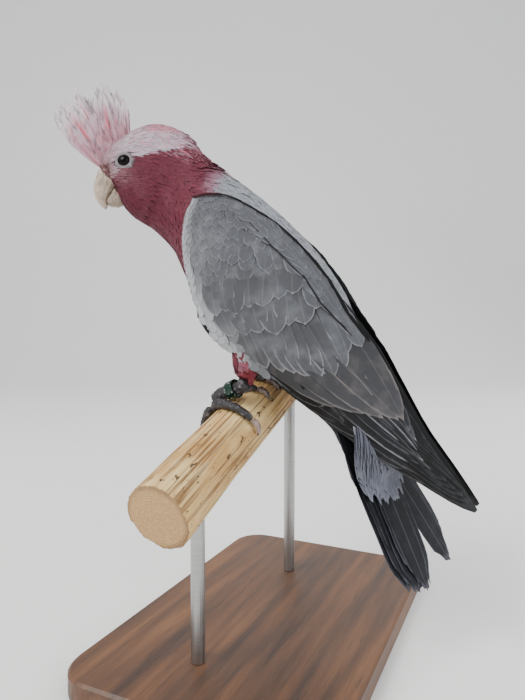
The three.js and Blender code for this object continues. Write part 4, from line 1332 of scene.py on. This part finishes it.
def dress_wing(side, seed):
    random = np.random.default_rng(seed)
    # Flight feathers, outermost last: their tips step back along the upper side of the wing's point.
    flight = Quills(side, 7, seed + 1)
    for i in range(10):
        back = 9 - i
        tip = [231 - 0.1 * i - 2.1 * max(0, back - 2) ** 1.45, -1.0 + 0.62 * max(0, back - 2) ** 1.25]
        if back < 3:
            tip = [[222, -4.6], [228, -3.0], [231, -0.8]][back]
        angle = 9.5 - 1.5 * back
        shade = PRIMARY_DARK * (1.0 + 0.25 * (back > 3)) * random.normal(1, 0.05)
        flight.lay([tip], angle, 128 - 3.0 * back, 7.6, (-3.4 + 0.1 * back, -1.7 + 0.11 * back),
                   [shade, EDGE_GREY * 0.35, 0.4, 0.2], LONG_ROWS, size=0.02, bend=5.0, ragged=0.012, camber=0.05)
    for i in range(7):
        tip = [203 - 4.6 * i, -6.4 + 2.3 * i]
        shade = SECONDARY_GREY * (0.7 + 0.1 * i) * random.normal(1, 0.06)
        flight.lay([tip], 7.5 - 2.9 * i, 114 - 3 * i, 8.4, (-2.4 + 0.14 * i, -0.95 + 0.13 * i),
                   [shade, EDGE_GREY, 0.3, 0.6 if i in (2, 4) else 0.15], LONG_ROWS, size=0.02, bend=6.0, ragged=0.012,
                   camber=0.05)
    # Secondaries' outer webs, which show as narrow dark strips along the wing's lower edge.
    for i, (along, up) in enumerate(((208, -5.5), (194, -8.0), (179, -10.0), (163, -12.5), (148, -14.5), (133, -15.5))):
        shade = PRIMARY_DARK * (1.4 + 0.5 * (i % 2)) * random.normal(1, 0.06)
        flight.lay([[along, up]], 11.0, 104 - 9 * i, 5.6, (-2.2 + 0.16 * i, -0.7 + 0.14 * i),
                   [shade, EDGE_GREY, 0.3, 0.3 if i % 2 else 0.15], LONG_ROWS, size=0.02, bend=4.0, keep_low=0.3,
                   ragged=0.012, camber=0.06)
    # Short near-black strips along the wing's lower front edge: partly its dark underside, partly painted shadow in the
    # gap between the wing and the body.
    for along, angle in ((9, -42), (24, -33), (40, -28), (58, -12), (74, 4)):
        flight.lay([[along, np.interp(along, EDGE_ALONG, EDGE_LOW)]], angle, 26, 2.0, (-0.9, -0.5),
                   [PRIMARY_DARK, PRIMARY_DARK, 0.2, 0.1], SHORT_ROWS, size=0.02, keep_low=-0.3, ragged=0.02, camber=0.2)
    # The dark inner webs, which show along the wing's upper edge: their own dark grey deepened to near black as painted
    # shadow in the gap there.
    for i, at in enumerate((112, 118, 125, 134, 143, 154, 166, 180, 194, 208, 219, 229)):
        top = np.interp(at, EDGE_ALONG, EDGE_HIGH)
        over = 1.5 if side == "left" or at > 150 else -2.0
        flight.lay([[at, top + over]], -13.0, min(78, at - 88), 5.5 - 0.24 * i, (-3.6, -2.4 + 0.08 * i),
                   [INNER_DARK, EDGE_GREY * 0.2, 0.2, 0.1], LONG_ROWS, size=0.02, keep_high=0.55, ragged=0.012,
                   camber=0.05)
    flight.vanes.make(f"flight_feathers_{side}", FLIGHT_FINISH, "flight_feathers", f"primaries_{side}")
    # Tertials: broad, soft and worn at their tips.
    coverts = Quills(side, 7, seed + 2)
    for tip, angle, drop in (([142, -6.5], 10, 0.0), ([151, -2], 5, 0.2), ([160, 2.5], -1, 0.4), ([167, 6.5], -7, 0.6),
                             ([169, 11.5], -11, 0.8), ([164, 16], -13, 1.0)):
        coverts.lay([tip], angle, 80, 8.6, (-1.6 + drop, 0.1 + drop * 0.5),
                    [TERTIAL_GREY * random.normal(1, 0.04), RAG_EDGE, 0.3, 0.5], LONG_ROWS, size=0.02, bend=-5.0,
                    ragged=0.02, camber=0.07, brush=0.25, fray=0.1)
    # Greater coverts, in one long row over the flight feathers' roots.
    path = [(88, -25), (98, -19), (107, -13), (113, -9), (122, -6), (124, 1), (127, 8), (121, 17), (118, 24)]
    tips = tips_along(path, 10, 1.1, random)
    for i, tip in enumerate(tips):
        angle = wing_lie(tip[:1] - 14, tip[1:] + 4)[0]
        coverts.lay([tip], angle, 42, 7.6, (-1.2, 0.35 + 0.04 * i),
                    [random.normal(1.0, 0.04), EDGE_GREY, 0.3, 0.55], LONG_ROWS, size=0.02, bend=-8.0,
                    by_place=True, ragged=0.02, camber=0.08, brush=0.1, fray=0.05)
    # Median coverts, in two scalloped rows.
    for row, path, count in (
        (0, [(68, -21), (72, -16), (74, -12), (79, -9), (86, -1), (88, 7), (95, 14), (92, 22), (88, 29)], 8),
        (1, [(50, -19), (55, -15), (60, -9), (64, -2), (68, 6), (74, 14), (74, 22), (72, 29)], 8),
    ):
        tips = tips_along(path, count, 1.3, random)
        angles = wing_lie(tips[:, 0], tips[:, 1]) + random.normal(0, 4, count)
        coverts.lay(tips, angles, 30 - 3 * row, 8.4 - 0.8 * row, (-0.9 + 0.2 * row, 0.5 + 0.15 * row),
                    [random.normal(1, 0.035, count), EDGE_GREY, 0.2, 0.45], LONG_ROWS, size=0.006, by_place=True,
                    ragged=0.02, camber=0.08, brush=0.1, fray=0.05)
    coverts.vanes.make(f"wing_coverts_{side}", COVERT_FINISH, "grey_plumage")
    # Lesser coverts: small and soft, all over the front of the wing.
    lesser = Quills(side, 5, seed + 3)
    along, up = random.uniform(-11, 102, 16000), random.uniform(-36, 42, 16000)
    low, high = (np.interp(along, EDGE_ALONG, edge) for edge in (EDGE_LOW, EDGE_HIGH))
    front = np.interp(up, [-33, -20, -10, 0, 10, 20, 42], [48, 52, 58, 62, 66, 70, 70])
    front = np.maximum(front, 100 - 4.2 * np.maximum(up - low - 2.5, 0))
    from_low = np.interp(along, [-8, 2, 40, 60, 72], [0.5, 2.8, 3.0, 2.4, 0.8])
    inside = (up > low + from_low) & (up < high - 0.5) & (along < front)
    along, up = along[inside], up[inside]
    by_edge = rise(low[inside] + 12 - up, 0.0, 9.0)
    spacing = np.interp(along, [-14, 8, 30, 50, 70], [2.0, 2.8, 4.4, 5.8, 6.4]) * (1 - 0.5 * by_edge)
    kept = scattered(np.stack([along, up, np.zeros_like(up)], 1), spacing, random)
    along, up, by_edge, spacing = along[kept], up[kept], by_edge[kept], spacing[kept]
    lesser.lay(np.stack([along, up], 1), wing_lie(along, up) + random.normal(0, 5, len(along)), spacing * 3.3,
               spacing * 0.92, (-0.6, 0.45 + random.uniform(-0.06, 0.08, len(along))),
               [random.normal(1, 0.03, len(along)), EDGE_GREY, 0.12, 0.3], SHORT_ROWS, keep_low=0.75, by_place=True,
               ragged=0.03, camber=0.04, brush=0.15, fray=0.1)
    # Shoulder feathers, which hang over the wing's upper edge from the back.
    tips = np.concatenate([tips_along(path, count, 0.8, random) for path, count in (
        ([(18, 31.5), (40, 33), (74, 32), (90, 28), (108, 26), (124, 23)], 16),
        ([(14, 33), (30, 35), (70, 35.5), (100, 30.5), (116, 26.5)], 15),
        ([(22, 37), (50, 38), (88, 34), (108, 28.5)], 12),
    )])
    angles = np.interp(tips[:, 0], [0, 20, 45, 65, 85, 105, 130], [9, 5, 1, -3, -9, -12, -14]) - 2
    angles = angles + random.normal(0, 2, len(tips))
    size = np.interp(tips[:, 0], [0, 40, 110], [12, 20, 27])
    shade = np.tile(FRONT_GREY, (len(tips), 1)) * random.normal(0.96, 0.04, len(tips))[:, None]
    lesser.lay(tips, angles, size, size * 0.22, (-0.3, 1.2 + random.uniform(-0.2, 0.2, len(tips))),
               [shade, EDGE_GREY, 0.25, 0.35], LONG_ROWS, ragged=0.03, camber=0.1, brush=0.2, fray=0.06)
    # Thin near-black strips, laid over the feathers, are painted shadow in the gaps that part the shoulder feathers
    # from the back above them and from the coverts below.
    lower = 0.0 if side == "left" else 6.0
    for path, half, stand, shade in (
        ([(-4, 32.5), (9, 37), (37, 41), (56, 41), (81, 37.5), (89, 35), (104, 30), (122, 27)], 0.75, 1.6, INNER_DARK),
        ([(30, 31), (60, 30), (74, 29.5), (90, 25.5), (102, 24), (114, 23)], 0.42, 1.5, SECONDARY_GREY),
    ):
        path = np.array(path, float) - [0.0, lower]
        half = half * (1 - 0.07 * lower)
        for run, tip in zip(np.diff(path, axis=0), path[1:]):
            wide = half * np.interp(tip[0], [10, 60, 110], [0.8, 1.0, 1.7])
            lesser.lay([tip + 0.12 * run], math.degrees(math.atan2(run[1], run[0])), 1.3 * np.hypot(*run), wide,
                       (stand, stand), [shade, shade, 0.0, 0.0], SHORT_ROWS, keep_low=0.0, keep_high=0.0,
                       ragged=0.1, camber=0.1)
    # A few crimson feathers show between the shoulder and the neck.
    for tip, angle in (((-9, 27.2), 46), ((-5, 31.0), 42), ((-2, 33.5), 36)):
        lesser.lay([tip], angle, 9.0, 0.9, (1.0, 1.5), [np.array(tone(58, 4, 17)), INNER_DARK, 0.0, 0.3],
                   SHORT_ROWS, keep_high=-1.0, ragged=0.1, camber=0.2)
    lesser.vanes.make(f"lesser_coverts_{side}", SOFT_FINISH, "grey_plumage")


FLIGHT_FINISH = vane_finish("flight feathers", 190.0, 0.2, 0.6, 0.05, 0.01, 0.3, 0.3, 0.05)
COVERT_FINISH = vane_finish("coverts", 80.0, 0.2, 0.66, 0.06, 0.02, 0.35, 0.1, 0.25)
SOFT_FINISH = vane_finish("lesser coverts", 36.0, 0.2, 0.74, 0.08, 0.03, 0.25, 0.35, 0.3)
tint_under_wings()
for side, seed in (("left", 21), ("right", 51)):
    dress_wing(side, seed)

# ---------------------------------------------------------------------------
# Tail
# Twelve long slate feathers, hardly fanned and parted right of the middle,
# with soft pale coverts lying over their roots and shorter ones beneath.
# ---------------------------------------------------------------------------

TAIL_ROOT = BIRD + np.array([73.5, -4.0, -6.0])
TAIL_FALL = math.radians(66.5)
TAIL_TWIST = math.radians(20)
TAIL_BACK = np.array([math.cos(TAIL_FALL), 0.0, -math.sin(TAIL_FALL)])
TAIL_UP = np.array([math.sin(TAIL_FALL), 0.0, math.cos(TAIL_FALL)])
TAIL_RIGHT = np.array([0.0, 1.0, 0.0])
# The twist turns the right side up about the tail's own length.
TAIL_RIGHT, TAIL_UP = (
    TAIL_RIGHT * math.cos(TAIL_TWIST) + np.cross(TAIL_BACK, TAIL_RIGHT) * math.sin(TAIL_TWIST),
    TAIL_UP * math.cos(TAIL_TWIST) + np.cross(TAIL_BACK, TAIL_UP) * math.sin(TAIL_TWIST),
)
TAIL_LENGTH, TAIL_HALF = 104.0, 9.6
PARTED_FROM, PARTING = 8, math.radians(19)
TAIL_ROWS = (0.0, 0.12, 0.26, 0.4, 0.54, 0.66, 0.77, 0.86, 0.92, 0.965, 0.99, 1.0)


def tail_width(share):
    return np.interp(share, [0, 0.4, 0.8, 0.93, 1], [0.62, 1.0, 1.0, 0.86, 0.5])


def tail_place(back, across, lift):
    return (
        TAIL_ROOT
        + back[..., None] * TAIL_BACK
        + across[..., None] * TAIL_RIGHT
        + (lift - 0.003 * across**2)[..., None] * TAIL_UP
    )


def tail_feathers():
    tail = Vanes(11, 71)
    random = tail.random
    for i in range(12):
        share = (i - 5.5) / 5.5
        parted = i >= PARTED_FROM
        reach = TAIL_LENGTH - (6 if share > 0 else 4) * share**2 + (6 if parted else 0) + 2 * math.cos(i * 2.4)
        angle = math.atan(-share * 1.5 / TAIL_LENGTH) + (PARTING if parted else 0)
        pivot = 18 * math.sin(PARTING) if parted else 0.0
        shares = np.array(TAIL_ROWS)
        along = shares * reach
        back, across = along * math.cos(angle), share * 14 - pivot + along * math.sin(angle)
        lift = -0.55 * abs(i - 5.5) + 0.5 * shares * math.sin(i * 1.9)
        line = tail_place(back, across, np.zeros_like(back) + lift)[None]
        side = (TAIL_RIGHT * math.cos(angle) - TAIL_BACK * math.sin(angle))[None, None] * np.ones((1, len(shares), 1))
        up = np.tile(TAIL_UP, (1, len(shares), 1))
        shade = np.array(tone(18, 19, 26)) * random.normal(1, 0.2)
        patch = np.array([[(i + 0.5) / 12, 0.5]])
        tail.lay(line, side, up, np.array([TAIL_HALF]), np.zeros((1, len(shares))),
                 [shade, np.array(tone(100, 100, 110)), 0.6, 0.5], (patch, 0.07), width=tail_width, ragged=0.018,
                 camber=0.03, thickness=0.4, shares=TAIL_ROWS, brush=0.9, fray=0.4)
    tail.make("tail_feathers", vane_finish("tail feathers", 170.0, 0.2, 0.55, 0.04, 0.01, 0.3, 0.6, 0.1), "flight_feathers", "tail")


COVER_FROM, COVER_TO = (-24.0, -24.0), (64.0, 26.0)


def rump_field(above):
    """How far the rump, or the vent where above is -1, stands over the tail's plane, smoothed over a grid."""
    back, across = np.meshgrid(*(np.arange(a, b, 2.0) for a, b in zip(COVER_FROM, COVER_TO)), indexing="ij")
    flat = tail_place(back, across, np.zeros_like(back))
    field = np.zeros(back.shape)
    for place in np.ndindex(*back.shape):
        start = flat[place] + TAIL_UP * above * 40
        hit = body_tree.ray_cast(start.tolist(), (-TAIL_UP * above).tolist(), 40.0)[0]
        if hit is not None:
            field[place] = (np.array(hit) - flat[place]) @ TAIL_UP * above
    for _ in range(4):
        padded = np.pad(field, 1, mode="edge")
        field = sum(padded[1 + a : padded.shape[0] - 1 + a, 1 + b : padded.shape[1] - 1 + b]
                    for a in (-1, 0, 1) for b in (-1, 0, 1)) / 9
    return field


def tail_coverts():
    """Rows of soft feathers over and under the tail feathers' roots."""
    cover = Vanes(5, 73)
    random = cover.random
    for above, count, longest in ((1, 520, 54), (-1, 300, 42)):
        across = random.uniform(-17, 17, count)
        size = random.uniform(17, 24, count)
        start = random.uniform(-22, longest - 22, count) - 0.03 * across**2
        shares = np.array(SHORT_ROWS)
        back = start[:, None] + size[:, None] * shares
        spread = across[:, None] * (1 + 0.006 * back)
        lift = sampled(rump_field(above), COVER_FROM, 2.0, back, spread)
        lift = lift + np.array([-0.5, 0.15, 0.4, 0.6, 0.65, 0.6]) + random.uniform(0, 0.3, (count, 1))
        line = tail_place(back, spread, above * (lift + (0.3 if above > 0 else 3.2)))
        out = line[:, 3:] - WING_ROOT
        low, high = (np.interp(out @ WING_ALONG, EDGE_ALONG, edge) for edge in (EDGE_LOW, EDGE_HIGH))
        past = np.abs(out[..., 1]) > wing_stand(out @ WING_ALONG, out @ WING_RISE) - 1.5
        clear = ~(past & (out @ WING_RISE > low - 1) & (out @ WING_RISE < high + 1)).any(1)
        line, across, start = line[clear], across[clear], start[clear]
        count = len(line)
        up = np.tile(TAIL_UP * above, (count, len(shares), 1))
        side = np.tile(TAIL_RIGHT * above, (count, len(shares), 1))
        shade = np.tile(tone(113, 115, 128) if above > 0 else tone(108, 105, 114), (count, 1))
        shade = shade * random.normal(1, 0.05, count)[:, None]
        patch = np.stack([(across + 20) / 40, (start + 30) / 70], 1)
        cover.lay(line, side, up, np.full(count, 2.8), np.zeros((count, len(shares))),
                  [shade, PALE_EDGE, 0.15, 0.2], (patch, 0.003), shares=SHORT_ROWS, width=soft_width, ragged=0.05,
                  camber=0.05, brush=1.6, fray=1.0)
    cover.make("tail_coverts", vane_finish("tail coverts", 50.0, 0.2, 0.75, 0.1, 0.1, 0.1), "grey_plumage")


tail_feathers()
tail_coverts()

# ---------------------------------------------------------------------------
# Crest
# Long narrow plumes raised in a fan along the forehead, pink at the root and
# whitish to their frayed tips, with short ones filling in between.
# ---------------------------------------------------------------------------

CREST_FRONT, CREST_BACK = np.array([-110.0, 156.0]), np.array([-91.5, 172.5])
CREST_LENGTHS = [46, 49, 46, 43, 49, 45, 41, 45, 43, 38, 31]
NECK_AXIS = np.array([-67.0, 0.0])
HEAD_TURN = math.radians(36)
CREST_ROWS = (0.0, 0.1, 0.22, 0.35, 0.48, 0.6, 0.72, 0.82, 0.9, 0.96, 1.0)


def head_to_row(points):
    """From the head's own upright plane, before it turned, to where the head is."""
    c, s = math.cos(HEAD_TURN), math.sin(HEAD_TURN)
    x, y = points[..., 0] - NECK_AXIS[0], points[..., 1]
    turned = np.stack([NECK_AXIS[0] + x * c - y * s, x * s + y * c, points[..., 2]], -1)
    return BIRD + turned


def plume_width(share):
    return np.interp(share, [0, 0.25, 0.7, 0.9, 1], [0.35, 0.6, 1.0, 0.9, 0.45]) * (0.95 + 0.05 * np.cos(share * 31))


def crest_plumes():
    crest = Vanes(7, 81)
    random = crest.random
    shares = np.array(CREST_ROWS)
    for layer, count, reach, half in (
        ("long", 55, 1.0, 3.0), ("middle", 90, 0.7, 2.4), ("short", 200, 0.45, 1.4), ("front", 260, 0.26, 0.9)
    ):
        for i in range(count):
            t = random.uniform(0, 1) if layer != "long" else (i % 11 + random.uniform(-0.24, 0.24)) / 10
            t = min(max(t, 0.0), 1.0)
            lean = math.radians(128 + (97 - 128) * t) + random.normal(0, 0.05)
            length = (np.interp(t * 10, range(11), CREST_LENGTHS) + 4.0) * reach * random.uniform(0.88, 1.02)
            root = CREST_FRONT + (CREST_BACK - CREST_FRONT) * t + np.array([-1.0, 1.2]) * 4 * t * (1 - t)
            curl = 0.0105 * (1 - t) ** 2
            along = shares * length - 5.0
            chord = lean + curl * (length - along) / 2 * (1 if layer == "long" else 0.4)
            spread = {"long": 2.4, "middle": 3.0, "short": 4.2, "front": 5.5}[layer]
            aside = random.uniform(-spread, spread) * (0.75 + along / 90)
            x = root[0] + along * np.cos(chord)
            z = root[1] + along * np.sin(chord)
            line = head_to_row(np.stack([x, aside + 0 * x, z], -1))[None]
            run = np.gradient(line, axis=1)
            run /= np.linalg.norm(run, axis=2)[..., None]
            roll = random.normal(0, 0.5)
            flat = HEAD_RIGHT * (1 if aside[0] > 0 else -1)
            up = flat * math.cos(roll) + np.cross(run, flat) * math.sin(roll)
            up -= run * np.einsum("ijk,ijk->ij", up, run)[..., None]
            up /= np.linalg.norm(up, axis=2)[..., None]
            side = np.cross(run, up)
            pink = 0.85 if random.random() < 0.5 else 0.25
            shade = CREST_PALE * (1 - 0.5 * pink) + CREST_PINK * 0.5 * pink
            trim = CREST_WHITE if layer == "long" else CREST_PALE
            if layer in ("short", "front"):
                pink = 0.3
                shade = trim = 0.5 * shade + 0.5 * FOREHEAD
            patch = np.array([[0.05 + 0.9 * t, 0.5 + aside[0] / 14]])
            crest.lay(line, side, up, np.array([half * random.uniform(0.8, 1.2)]), np.zeros((1, len(shares))),
                      [shade, trim, pink, 0.8], (patch, 0.003), width=plume_width, ragged=0.1, camber=0.2,
                      shares=CREST_ROWS, brush=1.3, fray=0.9)
    crest.make("crest_plumes", crest_finish(), "pale_plumage", "crest")


CREST_PALE = np.array(tone(197, 176, 186))
CREST_PINK = np.array(tone(218, 112, 132))
CREST_WHITE = np.array(tone(226, 222, 226))


def crest_finish():
    """Whitish plumes with a salmon shaft line that fades out towards the tip."""
    plume = Finish("crest plumes")
    place = plume.uv("Vane")
    across = abs(plume.part(place, "X") - 0.5) * 2.0
    along = plume.part(place, "Y")
    fray = plume.noise(plume.stretched(plume.place(), (620.0, 620.0, 110.0)), 1.0, 3.0)
    barb = ((along - across * 0.1 + fray * 0.03) * 150.0).wave() * 0.5 + 0.5
    shade = plume.mix(tone(196, 128, 140), plume.attribute("tint"), (along + (fray - 0.5) * 0.3).between(0.0, 0.5))
    line = (1.0 - (across + (fray - 0.5) * 0.2).between(0.12, 0.5)) * (1.0 - along.between(0.72, 0.98))
    shade = plume.mix(shade, tone(212, 92, 112), line * plume.attribute("tint", "Alpha"))
    shade = plume.mix(shade, plume.attribute("trim"), along.between(0.55, 0.95) * 0.8)
    dark = fray.between(0.5, 0.68) * along.between(0.1, 0.9)
    shade = plume.mix(shade, tone(104, 92, 102), dark * 0.6)
    shade = plume.mix(shade, (0.0, 0.0, 0.0), barb * fray * 0.22)
    return plume.surface(shade, 0.75, plume.bump(barb, 0.3, 0.1), Specular_IOR_Level=0.2)


crest_plumes()
#WING-END
#COAT-END
bpy.data.objects.remove(body_form)

# ---------------------------------------------------------------------------
# Studio
# A pale floor that sweeps up behind, one large soft light from above and the
# left, and a weaker one from the right.
# ---------------------------------------------------------------------------


def studio_finish():
    paper = Finish("backdrop paper")
    fibre = paper.noise(paper.place(), 40.0, 3.0)
    shade = paper.mix(tone(244, 243, 241), tone(250, 249, 247), fibre)
    return paper.surface(shade, 0.8)


def make_backdrop():
    """A floor and a wall in one sheet, with a wide curve between them, square to the camera."""
    facing = np.array([-0.4226, 0.9063])
    aside = np.array([0.9063, 0.4226])
    reach, width, bend = 1.5, 5.0, 0.8
    profile = [(-3.0, 0.0), (reach, 0.0)]
    profile += [(reach + bend * math.sin(a), bend * (1 - math.cos(a))) for a in np.linspace(0.1, math.pi / 2, 14)]
    profile += [(reach + bend, 4.0)]
    points, faces = [], []
    for run, height in profile:
        for side in (-width, width):
            points.append((*(facing * run + aside * side), height))
    for i in range(len(profile) - 1):
        faces.append((2 * i, 2 * i + 1, 2 * i + 3, 2 * i + 2))
    data = bpy.data.meshes.new("backdrop")
    data.from_pydata(points, [], faces)
    backdrop = new_piece("backdrop", data)
    smooth_shade(backdrop)
    backdrop.data.materials.append(studio_finish())


def add_light(name, spot, aim, size, power, warmth):
    lamp = bpy.data.lights.new(name, "AREA")
    lamp.shape = "DISK"
    lamp.size = size
    lamp.energy = power
    lamp.color = warmth
    light = new_piece(name, lamp)
    light.location = spot
    light.rotation_euler = (Vector(aim) - Vector(spot)).to_track_quat("-Z", "Y").to_euler()


make_backdrop()
MIDDLE = tuple((np.array(cad_low) + np.array(cad_high)) / 2)
add_light("key", (-0.7, -1.1, 1.5), MIDDLE, 1.2, 34.0, (1.0, 0.99, 0.97))
add_light("fill", (1.5, -0.7, 0.9), MIDDLE, 1.5, 12.0, (0.95, 0.97, 1.0))
add_light("back", (0.5, 1.2, 1.4), MIDDLE, 1.0, 13.0, (1.0, 1.0, 1.0))
world = bpy.data.worlds.new("studio air")
world.use_nodes = True
world.node_tree.nodes["Background"].inputs["Color"].default_value = (0.93, 0.96, 1.0, 1.0)
world.node_tree.nodes["Background"].inputs["Strength"].default_value = 0.72
bpy.context.scene.world = world

CAMERA_PLACE = (0.1536, -0.3451, 0.2033)
CAMERA_TURN = math.radians(25)  # round to the bird's left front
CAMERA_FALL = math.radians(2.9)
lens = bpy.data.cameras.new("camera")
lens.lens = 30.09
lens.clip_start = 0.01
camera = new_piece("camera", lens)
camera.location = CAMERA_PLACE
camera.rotation_euler = (math.pi / 2 - CAMERA_FALL, 0.0, CAMERA_TURN)
bpy.context.scene.camera = camera
